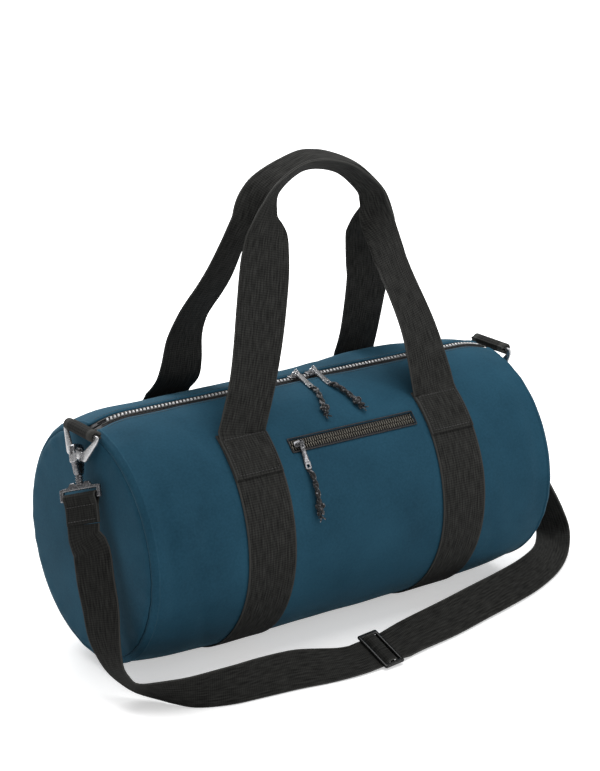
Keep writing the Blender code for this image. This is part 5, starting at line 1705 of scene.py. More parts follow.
@dataclass
class ShoulderStrap:
    """The strap's free webbing from hook to hook, and the adjuster that it threads."""

    webbing: bpy.types.Material
    plastic: bpy.types.Material
    strip: Webbing = field(default_factory=lambda: Webbing(width=0.0380))
    sewn_length: float = 0.0260
    gap: float = 0.0003
    step: float = 0.0140
    adjuster_share: float = 0.453
    adjuster_length: float = 0.0250
    adjuster_margin: float = 0.0050
    adjuster_bar: float = 0.0035
    middle_bar: float = 0.0040
    adjuster_thickness: float = 0.0026
    # Middles and edge-to-edge directions, listed from the left hook to the right one.
    route: tuple[tuple[float, ...], ...] = (
        (-0.276, -0.049, 0.143, 0.024, -0.028, 0.008),
        (-0.278, -0.059, 0.117, 0.025, -0.028, 0.007),
        (-0.279, -0.069, 0.091, 0.022, -0.030, 0.008),
        (-0.281, -0.077, 0.068, 0.016, -0.033, 0.009),
        (-0.280, -0.084, 0.050, 0.007, -0.035, 0.013),
        (-0.277, -0.090, 0.036, -0.001, -0.034, 0.016),
        (-0.271, -0.097, 0.026, -0.008, -0.031, 0.020),
        (-0.264, -0.105, 0.019, -0.014, -0.027, 0.023),
        (-0.254, -0.116, 0.017, -0.018, -0.020, 0.027),
        (-0.242, -0.130, 0.018, -0.016, -0.012, 0.031),
        (-0.222, -0.145, 0.019, -0.011, -0.004, 0.035),
        (-0.187, -0.155, 0.020, -0.003, 0.005, 0.037),
        (-0.150, -0.156, 0.019, 0.001, 0.013, 0.035),
        (-0.111, -0.157, 0.017, 0.004, 0.021, 0.031),
        (-0.078, -0.159, 0.013, 0.005, 0.029, 0.023),
        (-0.050, -0.160, 0.010, 0.003, 0.034, 0.016),
        (-0.023, -0.159, 0.009, -0.002, 0.035, 0.014),
        (0.003, -0.157, 0.010, -0.005, 0.034, 0.016),
        (0.035, -0.152, 0.013, -0.006, 0.031, 0.020),
        (0.089, -0.145, 0.016, -0.005, 0.025, 0.028),
        (0.138, -0.135, 0.018, -0.005, 0.020, 0.032),
        (0.188, -0.122, 0.018, -0.006, 0.020, 0.031),
        (0.234, -0.105, 0.016, -0.010, 0.023, 0.028),
        (0.277, -0.082, 0.013, -0.015, 0.027, 0.021),
        (0.309, -0.058, 0.010, -0.020, 0.030, 0.012),
        (0.328, -0.041, 0.013, -0.023, 0.030, 0.002),
        (0.336, -0.031, 0.024, -0.022, 0.030, -0.007),
        (0.332, -0.026, 0.043, -0.017, 0.032, -0.012),
        (0.323, -0.021, 0.066, -0.013, 0.034, -0.013),
        (0.308, -0.014, 0.098, -0.008, 0.036, -0.011),
        (0.290, -0.008, 0.126, -0.004, 0.037, -0.006),
    )

    def sewn_rows(self, side: Side) -> list[Array]:
        """The strap's first two rows at a hook, straight on from its sewn end.

        Args:
            side: which end of the bag.

        Returns:
            Two rows, each a middle and a width as six numbers.
        """
        hook = FITTINGS.hook(side)
        across = hook.x * -side.value * self.strip.width
        return [np.concatenate([hook.at(np.array([0.0, -drop, 0.0])), across])
                for drop in (self.sewn_length + self.gap, self.sewn_length + self.step)]

    def build(self) -> None:
        table = np.array([*self.sewn_rows(Side.LEFT), *self.route, *reversed(self.sewn_rows(Side.RIGHT))])
        fine = spline_through(table, 40 * (len(table) - 1))
        along = lengths_along(fine[:, :3])
        length = float(along[-1])
        middle = self.adjuster_share * length

        def rows_at(places: Array) -> Array:
            """Rows of the strap at these distances along it."""
            return sampled(places, along, fine)

        here = rows_at(np.array([middle]))[0]
        tangent = (rows_at(np.array([middle + self.step])) - rows_at(np.array([middle - self.step])))[0, :3]
        place = Place.across_and_up(-here[3:], tangent, here[:3])
        under = -(self.adjuster_thickness / 2 + self.gap + self.strip.thickness / 2)
        half = self.adjuster_length / 2
        reach = (abs(place.x[2]) * (self.strip.width / 2 + self.adjuster_margin)
                 + abs(place.y[2]) * (half + self.step / 4)
                 + abs(place.z[2]) * max(self.strip.thickness / 2, self.adjuster_thickness / 2 + under))
        lifted = np.array([here[0], here[1], max(here[2], reach)])
        place = Place(lifted, place.x, place.y, place.z)
        steps = np.linspace(-half - self.step / 4, half + self.step / 4, 25)
        hump = -2 * under * smooth_step((half - self.adjuster_bar - np.abs(steps)) / (half - self.adjuster_bar
                                                                                  - self.middle_bar * 0.8))
        threaded = place.at(stacked(0.0, steps, hump))
        clear = half + self.step
        before = np.linspace(0, middle - clear, 72)
        after = np.linspace(middle + clear, length, 84)
        rows_before, rows_after = rows_at(before), rows_at(after)
        centres = np.concatenate([rows_before[:, :3], threaded, rows_after[:, :3]])
        widths = np.concatenate([rows_before[:, 3:], np.tile(-place.x * self.strip.width, (25, 1)),
                                 rows_after[:, 3:]])
        layers = np.concatenate([np.ones(72 + 25), np.full(84, 2.0)])
        centres = self.on_floor(centres, widths, layers)
        strap = self.strip.ribbon("shoulder_strap_webbing", centres, widths, self.webbing, layers=layers)
        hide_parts("shoulder_strap")
        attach(strap, "bag")
        LOG.info("shoulder_strap_webbing: %.3f m", length)
        frame_piece = self.make_adjuster(place, under)

    def on_floor(self, centres: Array, widths: Array, layers: Array) -> Array:
        """Lift each middle until the webbing's lowest corner is on or above the floor.

        Args:
            centres: rows x 3 middles of the webbing.
            widths: rows x 3 directions across it.
            layers: how thick the webbing lies at each row.

        Returns:
            The lifted middles.
        """
        side = unit(widths)
        normal = unit(np.cross(tangents_of(centres), side))
        lowest = (centres[:, 2] - np.abs(side[:, 2]) * self.strip.width / 2
                  - np.abs(normal[:, 2]) * self.strip.thickness * layers / 2)
        lifted = centres.copy()
        lifted[:, 2] += np.maximum(self.gap - lowest, 0.0)
        return lifted

    def make_adjuster(self, place: Place, under: float) -> bpy.types.Object:
        """Moulded frame with rounded bars and a middle bar under the webbing.

        Args:
            place: its axes.
            under: height of the webbing at the end bars, from the frame's middle: negative.

        Returns:
            The piece.
        """
        half_width = self.strip.width / 2 + self.adjuster_margin
        half = self.adjuster_length / 2
        inner = self.strip.width / 2 + 0.0002
        seat = place.moved((0.0, 0.0, -under))
        outer = rounded_corners(mirrored([(half_width, -half), (half_width, half)]), radius=0.0022, steps=5)
        inside = rounded_corners(mirrored([(inner, -half + self.adjuster_bar),
                                           (inner, half - self.adjuster_bar)]), radius=0.0008, steps=5)
        frame_points = ring_plate(outer, inside, self.adjuster_thickness * 1.25, edge=0.0015, place=seat)
        rim = closed_surface("adjuster_frame", frame_points, self.plastic, ring=True)
        reach = inner + 0.0012
        bar_outline = rounded_corners(mirrored([(reach, -self.middle_bar / 2),
                                                (reach, self.middle_bar / 2)]), radius=0.0008)
        bar_points = pillow_plate(bar_outline, self.adjuster_thickness * 0.9, edge=0.0008, place=seat)
        bar = closed_surface("adjuster_bar", bar_points, self.plastic)
        whole = joined("strap_adjuster_frame", [rim, bar])
        return settle(whole, "strap_adjuster", "adjuster", "strap_adjuster")


@dataclass
class SnapHooks:
    """End rings in their webbing rolls, and the swivel snap hooks that carry the strap."""

    metal: bpy.types.Material
    bright: bpy.types.Material
    webbing: bpy.types.Material
    thread: bpy.types.Material
    ring_width: float = 0.0630
    ring_low: float = 0.0340
    ring_drop: float = 0.0280
    ring_bar: float = 0.0040
    ring_shoulder: float = 0.0050
    ring_side: float = 0.0066
    ring_foot: float = 0.0085
    ring_thickness: float = 0.0032
    roll_length: float = 0.0500
    roll_thickness: float = 0.0030
    eye_length: float = 0.0180
    eye_width: float = 0.0100
    hook_seat: float = 0.0022
    hook_wall: float = 0.0038
    hole_share: float = 0.45
    hook_width: float = 0.0060
    collar_top: float = 0.0215
    collar_radius: float = 0.0042
    base_width: float = 0.0488
    base_bar: float = 0.0044
    base_slot: float = 0.0050
    base_thickness: float = 0.0036
    collar_foot: float = 0.0118
    # How far below the base's bar the two rows of stitches run, and the webbing's thickness.
    stitch_drops: tuple[float, float] = (0.0225, 0.0085)
    webbing_thickness: float = 0.0016
    strap_width: float = 0.0380
    sewn_length: float = 0.0260

    def build(self) -> None:
        """Make both ends."""
        for side in Side:
            self.make_ring(side)
            self.make_roll(side)
            self.make_hook(side)
            self.make_gate(side)
            self.make_base(side)
            self.make_strap_end(side)

    def make_ring(self, side: Side) -> None:
        """Cast ring: a rounded bar between a wide top and a narrow foot.

        Args:
            side: which end of the bag.
        """
        place = Place.across_and_up(Y_AXIS, -FITTINGS.ring_down(side), FITTINGS.ring_axis(side))
        wide, low = self.ring_width / 2, self.ring_low / 2
        inner_wide, inner_low = wide - self.ring_side, low - self.ring_side
        top = self.ring_bar / 2
        outer = rounded_corners(mirrored([(wide, top), (wide, -self.ring_shoulder),
                                          (low, -self.ring_drop)]), radius=0.0028, steps=6)
        inner = rounded_corners(mirrored([(inner_wide, -top), (inner_wide, -self.ring_shoulder),
                                          (inner_low, -self.ring_drop + self.ring_foot)]), radius=0.0012,
                                steps=6)
        points = ring_plate(outer, inner, self.ring_thickness, edge=0.0013, place=place)
        ring = closed_surface("ring_" + side.word + "_cast", points, self.bright, ring=True)
        settle(ring, "ring_" + side.word, "fitting_metal", "ring_" + side.word)

    def make_roll(self, side: Side) -> None:
        """Webbing folded round the ring's top bar, with both tails sewn into the end of the zip.

        Args:
            side: which end of the bag.
        """
        axis = FITTINGS.ring_axis(side)
        radius = math.hypot(self.ring_bar / 2, self.ring_thickness / 2) + GAP + self.roll_thickness / 2
        turns = np.radians(np.linspace(-148, 148, 40))
        arc = stacked(np.cos(turns) * radius, np.sin(turns) * radius)
        tail = np.array([[-0.0069, -0.0016], [-0.0052, -0.0018]])
        loop = np.concatenate([tail, arc, tail[::-1] * [1, -1]])
        centres = axis + loop[:, :1] * X_AXIS * side.value + loop[:, 1:] * Z_AXIS
        widths = np.tile(Y_AXIS * self.roll_length, (len(centres), 1))
        strip = Webbing(self.roll_length, self.roll_thickness)
        roll = strip.ribbon("ring_roll_" + side.word, centres, widths, self.webbing)
        settle(roll, "bag", "webbing", "ring_loop_" + side.word)

    def make_hook(self, side: Side) -> None:
        """Cast hook: a tapered eye over the ring's foot, a neck, and a round post into the collar.

        Args:
            side: which end of the bag.
        """
        place = FITTINGS.hook(side).quarter_turned()
        centre = FITTINGS.hook_reach - self.hook_seat
        half, inner = self.eye_length / 2, self.eye_width / 2
        outer = inner + self.hook_wall
        top, low = centre + half + self.hook_wall, centre - half * self.hole_share
        neck = 0.0040
        waist = centre - 0.002
        outside = rounded_corners(mirrored([(outer, top), (outer, waist), (neck, self.collar_top)]),
                                  np.array([0.0062, 0.0062, 0.004, 0.001, 0.001, 0.004]), steps=6)
        inside = rounded_corners(mirrored([(inner, centre + half), (inner, waist), (0.0022, low)]),
                                 np.array([0.0045, 0.0045, 0.003, 0.0014, 0.0014, 0.003]), steps=6)
        points = ring_plate(outside, inside, self.hook_width, edge=0.0016, place=place)
        eye = closed_surface("eye", points, self.metal, ring=True)
        # Painted shade: a dark plate of webbing cloth, a little thicker than the hook, stands for the shade
        # in the neck's groove; the cast metal has no recess there.
        groove_shade_outline = rounded_corners(mirrored([(0.0030, low - 0.0022), (0.0012, self.collar_top + 0.0015)]),
                                 radius=0.0006)
        groove_shade = closed_surface("groove_shade", pillow_plate(groove_shade_outline, self.hook_width + 0.0003, edge=0.0003,
                                                     place=place), self.webbing)
        post_profile = np.array([(0.0001, self.collar_top + 0.0015), (0.0017, self.collar_top + 0.001),
                                 (0.0017, self.collar_top - 0.0055), (0.0001, self.collar_top - 0.0055)])
        post_points = revolved(post_profile, place, sides=16)
        post = closed_surface("post", post_points, self.bright)
        settle(joined("hook_" + side.word + "_cast", [eye, groove_shade, post]), "hook_" + side.word,
               "fitting_metal", "hook_" + side.word)

    def make_gate(self, side: Side) -> None:
        """Sprung gate: a small rounded bar in the eye's outer side.

        Args:
            side: which end of the bag.
        """
        place = FITTINGS.hook(side).quarter_turned()
        centre = FITTINGS.hook_reach - self.hook_seat
        middle = side.value * (self.eye_width / 2 + self.hook_wall / 2)
        outline = rounded_corners(mirrored([(0.0019, -0.0056), (0.0019, 0.0056)]), radius=0.0008)
        points = pillow_plate(outline, self.hook_width + 0.0004, edge=0.0010,
                              place=place.moved((middle, centre, 0.0)))
        gate = closed_surface("gate_" + side.word + "_bar", points, self.bright)
        settle(gate, "gate_" + side.word, "fitting_metal", "gate_" + side.word)

    def make_base(self, side: Side) -> None:
        """Strap base with stepped shoulders round the webbing's slot, and a ribbed collar on top.

        Args:
            side: which end of the bag.
        """
        place = FITTINGS.hook(side)
        half, bar = self.base_width / 2, self.base_bar / 2
        inner = self.strap_width / 2 + 0.001
        slot_top = bar + self.base_slot
        shoulder = [(0.0140, 0.0112), (0.0112, 0.0150), (0.0062, 0.0150), (0.0042, 0.0125)]
        outer = rounded_corners(mirrored([(half, -bar), (half, 0.0100), *shoulder]), radius=0.0010)
        slot = [(inner, bar), (inner, slot_top), *((x, slot_top) for x, _ in shoulder)]
        inside = rounded_corners(mirrored(slot), radius=0.0006)
        points = ring_plate(outer, inside, self.base_thickness, edge=0.0014, place=place)
        plate = closed_surface("plate", points, self.metal, ring=True)
        heights = np.linspace(0, 1, 41)
        low = self.collar_foot
        ribs = self.collar_radius - 0.0006 + 0.0006 * np.sign(np.sin(heights * 4 * TURN)) * np.abs(
            np.sin(heights * 4 * TURN)) ** 0.4
        profile = stacked(ribs, low + (self.collar_top - low) * heights)
        base = self.collar_top - 0.005
        profile = np.concatenate([[(0.0001, low)], profile, [(0.0021, self.collar_top), (0.0020, base),
                                                             (0.0001, base)]])
        collar = closed_surface("collar", revolved(profile, place), self.metal, smooth_angle=40)
        settle(joined("hook_base_" + side.word + "_cast", [plate, collar]), "strap_base_" + side.word,
               "fitting_metal", "hook_base_" + side.word)

    def make_strap_end(self, side: Side) -> None:
        """Webbing folded round the base's bar and sewn to itself, with two rows of stitches on each face.

        Args:
            side: which end of the bag.
        """
        place = FITTINGS.hook(side)
        radius = math.hypot(self.base_bar / 2, self.base_thickness / 2) + GAP + self.webbing_thickness / 2
        tail = np.array([[-self.sewn_length, 0.0009], [-0.020, 0.0009], [-0.013, 0.0010], [-0.008, 0.0014]])
        half_turns = np.linspace(math.radians(125), math.radians(-125), 44)
        arc = stacked(np.cos(half_turns) * radius, np.sin(half_turns) * radius)
        loop = np.concatenate([tail, arc, tail[::-1] * [1, -1]])
        loop = spline_through(loop, count=110)
        centres = place.at(stacked(0.0, loop[:, 0], loop[:, 1]))
        widths = np.tile(place.x * self.strap_width, (len(centres), 1))
        folded = Webbing(self.strap_width).ribbon("strap_end_" + side.word + "_webbing", centres, widths,
                                                  self.webbing)
        xs = np.linspace(-self.strap_width / 2 + 0.002, self.strap_width / 2 - 0.002, 20)
        pieces = [folded]
        for drop in self.stitch_drops:
            for face in (1, -1):
                line = stacked(xs, -drop, face * (0.0019 if drop > 0.01 else 0.0024))
                pieces.append(StitchRow().along("row", place.at(line), np.tile(place.z * face, (20, 1)),
                                                self.thread))
        settle(joined("strap_end_" + side.word + "_sewn", pieces), "strap_base_" + side.word, "webbing",
               "strap_end_" + side.word)


# Zips


@dataclass
class ZipChain:
    """Two tapes and two rows of cast teeth that stand face to face."""

    tape: bpy.types.Material
    teeth: bpy.types.Material
    thread: bpy.types.Material
    pitch: float = 0.0042
    tooth_share: float = 0.23
    tooth_height: float = 0.0022
    tip: float = 0.0004
    root: float = 0.0034
    tape_thickness: float = 0.0008

    def tooth(self) -> tuple[Array, Array]:
        """One tooth along -Y: a rounded block whose head is wider than its waist.

        Returns:
            Points and faces.
        """
        stations = np.array([0.0, 0.18, 0.42, 0.60, 0.85, 1.0])
        widths = np.array([0.55, 1.0, 1.0, 0.62, 0.80, 0.70]) * self.pitch * self.tooth_share
        heights = np.array([0.55, 0.95, 1.0, 0.90, 1.0, 0.85]) * self.tooth_height / 2
        angles = np.radians([20, 70, 110, 160, 200, 250, 290, 340])
        rings = stacked(widths[:, None] * np.sign(np.cos(angles)) * np.abs(np.cos(angles)) ** 0.5,
                        -(self.tip + stations * (self.root - self.tip))[:, None],
                        heights[:, None] * np.sign(np.sin(angles)) * np.abs(np.sin(angles)) ** 0.5)
        cells, _ = grid_cells(rows=6, columns=8, wrap_rows=False, wrap_columns=True)
        ends = np.array([[0, 1, 2, 3], [0, 3, 4, 7], [4, 5, 6, 7], [40, 43, 42, 41], [40, 47, 44, 43],
                         [44, 47, 46, 45]])
        return rings.reshape(-1, 3), np.concatenate([cells, ends])

    def row(self, name: str, origins: Array, frames: Array, side: int) -> bpy.types.Object:
        """One row of teeth.

        Args:
            name: the piece's name.
            origins: places on the zip's middle line.
            frames: axes at each place, as rows: along, up the cloth and out of it.
            side: 1 for teeth that reach from the front and -1 for those from the back.

        Returns:
            The piece.
        """
        template, faces = self.tooth()
        template = template * np.array([1.0, side, 1.0]) + np.array([0.0, 0.0, self.tooth_height / 2])
        if side < 0:
            faces = faces[:, ::-1]
        points, all_faces = many(template, faces, origins, frames)
        return plain_mesh(name, points, all_faces, self.teeth, smooth_angle=40)

    def lay_tape(self, node: str, xs: Array, reaches: Array, angles: Array, height: float,
                 flipped: bool) -> None:
        """Woven tape from the teeth to well under the cloth's edge.

        Args:
            node: the CAD node that it replaces.
            xs: places along the zip.
            reaches: distances from the zip's middle line, across the tape.
            angles: the angles on the barrel of those distances.
            height: the tape's height above the cloth.
            flipped: True where the grid's faces would point inwards.
        """
        points = BARREL.at(xs[:, None], angles[None], height, folded=False)
        uvs = stacked(reaches[None], xs[:, None])
        tape = surface(node + "_woven", points, uvs, self.tape, outwards=False)
        if flipped:
            tape.data.flip_normals()
        thicken(tape, self.tape_thickness)
        settle(tape, "bag", "zip_tape", node)


@dataclass
class MainZip(ZipChain):
    """The zip along the top, with the cord beside each row of teeth."""

    start: float = -0.2320
    stop: float = 0.2420
    tape_stop: float = 0.2455
    drop: float = 0.0019
    back_sunk: float = 0.0005
    tape_half: float = 0.0160

    def line(self, xs: Array, y: Array, height: Array) -> Array:
        """Places above the zip's middle line, given by the way across and the height above the cloth.

        Args:
            xs: places along the zip.
            y: distance to the back of the middle line.
            height: how far above the cloth.

        Returns:
            The places.
        """
        xs, y, height = np.broadcast_arrays(*(np.asarray(value, dtype=float) for value in (xs, y, height)))
        _, centre, above, _ = BARREL.section(xs)
        return stacked(xs, ZIP_Y + y, centre + above + height)

    def build(self) -> None:
        """Make the tapes and the teeth."""
        for face in Face:
            count = int((self.stop - self.start) / self.pitch)
            shift = 0.5 if face is Face.BACK else 0.0
            xs = self.start + (np.arange(count) + 0.5 + shift) * self.pitch
            frames = np.tile(np.eye(3), (count, 1, 1))
            sunk = self.back_sunk if face is Face.BACK else 0.0
            teeth = self.row("teeth", self.line(xs, y=0.0, height=-self.drop + 0.0003 - sunk), frames,
                             face.value)
            lengths = np.linspace(self.start - 0.006, self.stop + 0.004, 90)
            bead = self.line(lengths, -face.value * 0.0040, -self.drop + 0.0010)
            bead_piece = closed_surface("bead", round_wire(bead, radii=0.0009, sides=8), self.thread)
            row = joined("zip_row_" + face.word, [teeth, bead_piece])
            settle(row, "bag", "zip_metal", "zip_teeth_" + face.word)
            reaches = np.array([0.0012, 0.0030, 0.0055, 0.0085, 0.0120, self.tape_half])
            angles = np.arcsin((face.value * reaches - ZIP_Y) / BARREL.half_width)
            lengths = np.linspace(-self.tape_stop, self.tape_stop, 120)
            self.lay_tape("zip_tape_" + face.word, lengths, reaches, angles, -self.drop, face is Face.BACK)


@dataclass
class PocketZip(ZipChain):
    """The slip pocket's zip in its bound slit."""

    border: float = 0.0013
    pitch: float = 0.0028
    tooth_share: float = 0.23
    tooth_height: float = 0.0014
    tip: float = 0.0002
    root: float = 0.0050

    def build(self) -> None:
        """Make the binding, the tapes and the teeth."""
        place = BARREL.place(0.0, SLIT.middle)
        for side, word in ((-1, "upper"), (1, "lower")):
            count = int((SLIT.right - SLIT.left) / self.pitch)
            shift = 0.5 if side > 0 else 0.0
            xs = SLIT.left + (np.arange(count) + 0.25 + shift) * self.pitch
            origins = place.at(stacked(xs, 0.0, TEETH_SEAT))
            frames = np.tile(np.stack([place.x, place.y, place.z]), (count, 1, 1))
            row = self.row("pocket_row_" + word, origins, frames, side)
            settle(row, "bag", "pocket_metal", "pocket_teeth_" + word)
            reaches = np.array([0.0008, 0.0025, 0.0045, 0.0065, 0.0100])
            angles = SLIT.middle + side * BARREL.turn_of(1.0) * reaches
            lengths = np.linspace(SLIT.left - 0.004, SLIT.right + 0.004, 60)
            self.lay_tape("pocket_tape_" + word, lengths, reaches, angles, height=-0.0019, flipped=side < 0)
        self.make_binding(SLIT.middle)

    def make_binding(self, middle: float) -> None:
        """Folded binding round the slit: a rounded bar carried round its corners, with a row of stitches.

        Args:
            middle: angle of the slit's middle line.
        """
        half = SLIT.height / 2
        middle_x = (SLIT.left + SLIT.right) / 2
        half_x = (SLIT.right - SLIT.left) / 2
        edges = np.array(mirrored([(half_x, -half), (half_x, half)]))
        grown = edges + np.sign(edges) * self.border
        outer = self.densified(rounded_corners(grown, radius=0.0020))
        inner = self.densified(rounded_corners(edges, radius=0.0008))
        shares, levels = plate_section(thickness=0.0010, edge=0.00045,
                                       width=np.linalg.norm(outer - inner, axis=1))
        flat = outer[:, None] + (inner - outer)[:, None] * shares[..., None]
        points = BARREL.at(middle_x + flat[..., 0], middle - flat[..., 1] * BARREL.turn_of(1.0),
                           0.0008 + levels[None])
        closed = np.zeros((len(outer) + 1, 21, 2))
        closed[..., 1] = np.concatenate([lengths_along(outer), [0.35]])[:, None]
        closed[..., 0] = np.linspace(0, 0.006, 21)[None]
        binding = surface("pocket_binding", points, closed, self.tape, wrap_rows=True, wrap_columns=True)
        line = (outer + inner) / 2
        line = np.concatenate([line, line[:1]])
        rows = StitchRow(pitch=0.0030, length=0.0024, width=0.0006, height=0.0005)
        stitches = rows.on_cloth("row", middle_x + line[:, 0], middle - line[:, 1] * BARREL.turn_of(1.0),
                                 height=0.0014, material=self.thread)
        settle(joined("pocket_binding_sewn", [binding, stitches]), "bag", "zip_tape", "pocket_frame")

    @staticmethod
    def densified(outline: Array) -> Array:
        """The outline with thirty points put on each of its two long sides, at matching places.

        Args:
            outline: its corners, n x 2.

        Returns:
            The outline with the new points.
        """
        before, after = outline[3], outline[4]
        steps = np.linspace(0, 1, 32)[1:-1, None]
        lower = before + (after - before) * steps
        before, after = outline[11], outline[12]
        upper = before + (after - before) * steps
        return np.concatenate([outline[:4], lower, outline[4:12], upper, outline[12:]])


@dataclass(frozen=True)
class SliderSize:
    """The sizes of a slider and its pull that differ between the two zips."""

    length: float
    width: float
    teeth_height: float
    tab_length: float
    cord_reach: float


@dataclass
class SliderPull:
    """A zip slider with its bail, link, tab and knotted cord."""

    metal: bpy.types.Material
    bright: bpy.types.Material
    cord: bpy.types.Material
    label: str
    place: Place
    size: SliderSize
    cord_points: Array
    lean: float
    flipped: bool = False
    plate: float = 0.0012
    bail_rise: float = 0.0039
    bail_length: float = 0.0090
    bail_wire: float = 0.0008
    link_radius: float = 0.0030
    link_wire: float = 0.0006
    tab_width: float = 0.0070
    tab_thickness: float = 0.0012
    knot_row: int = 72
    frays: int = 7
    fray_length: float = 0.0055
    barrel_axis: float = 0.125

    @property
    def link_drop(self) -> float:
        """How far the link's middle hangs below the bail."""
        return self.link_radius - self.link_wire - self.bail_wire - GAP

    @property
    def slider_body(self) -> str:
        """The CAD body of the slider."""
        return "slider_" + self.label

    @property
    def pull_body(self) -> str:
        """The CAD body of the pull."""
        return "pull_" + self.label

    def build(self) -> None:
        """Make the slider and its pull."""
        top = TEETH_SEAT + self.size.teeth_height + GAP
        self.make_slider(top)
        bar = top + self.plate + self.bail_rise
        pivot = self.place.moved((0.0, 0.0, bar))
        cosine, sine = math.cos(self.lean), math.sin(self.lean)
        hang = Place(pivot.origin, pivot.x, pivot.y * cosine + pivot.z * sine,
                     pivot.z * cosine - pivot.y * sine)
        self.make_link(hang)
        self.make_tab(hang)
        self.make_cord(hang)

    def make_slider(self, top: float) -> None:
        """Shield-shaped upper plate with side flanges, the lower plate and the arched bail.

        Args:
            top: height of the upper plate's underside.
        """
        sign = -1.0 if self.flipped else 1.0
        half, wide, waist = self.size.length / 2, self.size.width / 2, self.size.width * 0.35
        outline = np.array([(-half, -waist), (0.0, -wide), (half * 0.8, -wide), (half, -wide * 0.55),
                            (half, wide * 0.55), (half * 0.8, wide), (0.0, wide), (-half, waist)])
        outline = rounded_corners(outline * [sign, 1.0], radius=0.0012)
        upper = closed_surface("upper", pillow_plate(outline, self.plate, edge=0.0005,
                                                     place=self.place.moved((0, 0, top + self.plate / 2)),
                                                     crown=0.0004), self.metal)
        low = TEETH_SEAT - 0.0014 - (self.size.width / 2 - ZIP_Y) ** 2 / (2 * BARREL.half_width)
        lower = closed_surface("lower", pillow_plate(outline, self.plate, edge=0.0005,
                                                     place=self.place.moved((0, 0, low - 0.0006))),
                               self.metal)
        pieces = [upper, lower]
        for side in (-1, 1):
            flange = rounded_corners([(-half * 0.2, -0.0005), (half * 0.9, -0.0005), (half * 0.9, 0.0005),
                                      (-half * 0.2, 0.0005)], radius=0.0004, steps=4)
            flange_place = self.place.moved((0.0, side * (wide - 0.0005), top - 0.0003))
            pieces.append(closed_surface("flange", pillow_plate(flange * [sign, 1.0], thickness=0.0014,
                                                                edge=0.0004, place=flange_place),
                                         self.metal))
        rise = np.linspace(0, math.pi, 25)
        arch = stacked(-np.cos(rise) * self.bail_length / 2, 0.0,
                       top + self.plate / 2 + np.sin(rise) ** 0.55 * (self.bail_rise + self.plate / 2))
        sides = round_wire(self.place.at(arch), self.bail_wire * 1.1, sides=10)
        pieces.append(closed_surface("bail", sides, self.bright))
        settle(joined("slider_" + self.label + "_cast", pieces), self.slider_body, "slider_metal",
               "slider_" + self.label)

    def make_link(self, hang: Place) -> None:
        """Round wire link on the bail.

        Args:
            hang: axes at the bail: Y up from the tab and Z out of its face.
        """
        centre = -self.link_drop
        turns = np.linspace(0, TURN, 24, endpoint=False)
        ring = stacked(0.0, centre + np.cos(turns) * self.link_radius, np.sin(turns) * self.link_radius)
        wire = round_wire(hang.at(ring), self.link_wire, sides=8, closed=True)
        link = closed_surface("pull_" + self.label + "_link_wire", wire, self.bright, ring=True)
        settle(link, self.pull_body, "slider_metal", "pull_" + self.label + "_link")

    def make_tab(self, hang: Place) -> None:
        """Cast tab: a rounded plate with a raised rim, a hole for the link and a window for the cord.

        Args:
            hang: axes at the bail: Y up from the tab and Z out of its face.
        """
        hole = -self.link_drop - self.link_radius
        near, wide = self.tab_width * 0.36, self.tab_width / 2
        far = hole - self.size.tab_length
        turns = np.linspace(0, TURN, 16, endpoint=False) + TURN / 32
        top_outer = stacked(np.cos(turns) * near, hole + np.sin(turns) * near)
        top_inner = stacked(np.cos(turns) * 0.0013, hole + np.sin(turns) * 0.0013)
        pieces = [closed_surface("eye", ring_plate(top_outer, top_inner, self.tab_thickness * 1.2,
                                                   edge=0.0004, place=hang), self.bright, ring=True)]
        window = rounded_corners(mirrored([(wide * 0.42, far + 0.0018), (wide * 0.42, far + 0.0048)]),
                                 radius=0.0008)
        frame_out = rounded_corners(mirrored([(wide, far), (wide, far + 0.0080)]), radius=0.0016)
        pieces.append(closed_surface("window", ring_plate(frame_out, window, self.tab_thickness * 1.25,
                                                          edge=0.0004, place=hang), self.bright, ring=True))
        blade = rounded_corners(mirrored([(wide * 0.94, far + 0.0070), (near * 0.9, hole - near * 0.7)]),
                                radius=0.0006)
        pieces.append(closed_surface("blade", pillow_plate(blade, self.tab_thickness, edge=0.0004,
                                                           place=hang, crown=0.0003), self.bright))
        settle(joined("pull_" + self.label + "_tab_cast", pieces), self.pull_body, "slider_metal",
               "pull_" + self.label + "_tab")

    def make_cord(self, hang: Place) -> None:
        """Doubled twisted cord from the tab to its knot, with two frayed ends.

        Args:
            hang: axes at the bail: Y up from the tab and Z out of its face.
        """
        fine = spline_through(self.cord_points, count=90)
        lengths = lengths_along(fine)
        share = lengths / lengths[-1]
        runs = tangents_of(fine)
        normals = unit((fine - np.array([0.0, 0.0, self.barrel_axis])) * [0, 1, 1])
        sideways = unit(np.cross(runs, normals))
        lift = np.cross(sideways, runs)
        strands = []
        for phase in (0.0, math.pi):
            turn = phase + lengths / 0.0090 * TURN / 2
            apart = 0.0013 * np.where(share < 0.78, 1.0, 1.0 + (share - 0.78) * 5)
            height = (np.sin(turn) * 0.0010 + 0.0002)[:, None]
            path = fine + (np.cos(turn) * apart)[:, None] * sideways + height * lift
            radius = 0.0017 * np.where(share < 0.95, 1.0, 1.15)
            strands.append(closed_surface("strand", round_wire(path, radius, sides=8), self.cord))
        knot_at, knot_run = fine[self.knot_row], runs[self.knot_row]
        knot_side, knot_lift = sideways[self.knot_row], lift[self.knot_row]
        turns = np.linspace(0, TURN, 60, endpoint=False)
        trefoil = ((np.sin(turns) + 2 * np.sin(2 * turns))[:, None] * knot_side
                   + (np.cos(turns) - 2 * np.cos(2 * turns))[:, None] * knot_run
                   + (-np.sin(3 * turns) * 1.2)[:, None] * knot_lift)
        ring = knot_at + trefoil * 0.00125 + knot_lift * 0.0010
        loops = self.free_wire(ring, radius=0.0016)
        pieces = [closed_surface("knot", loops, self.cord, ring=True)]
        steps = np.linspace(0, 1, 8)[:, None]
        for turn in np.linspace(0, TURN, self.frays, endpoint=False) + 0.4:
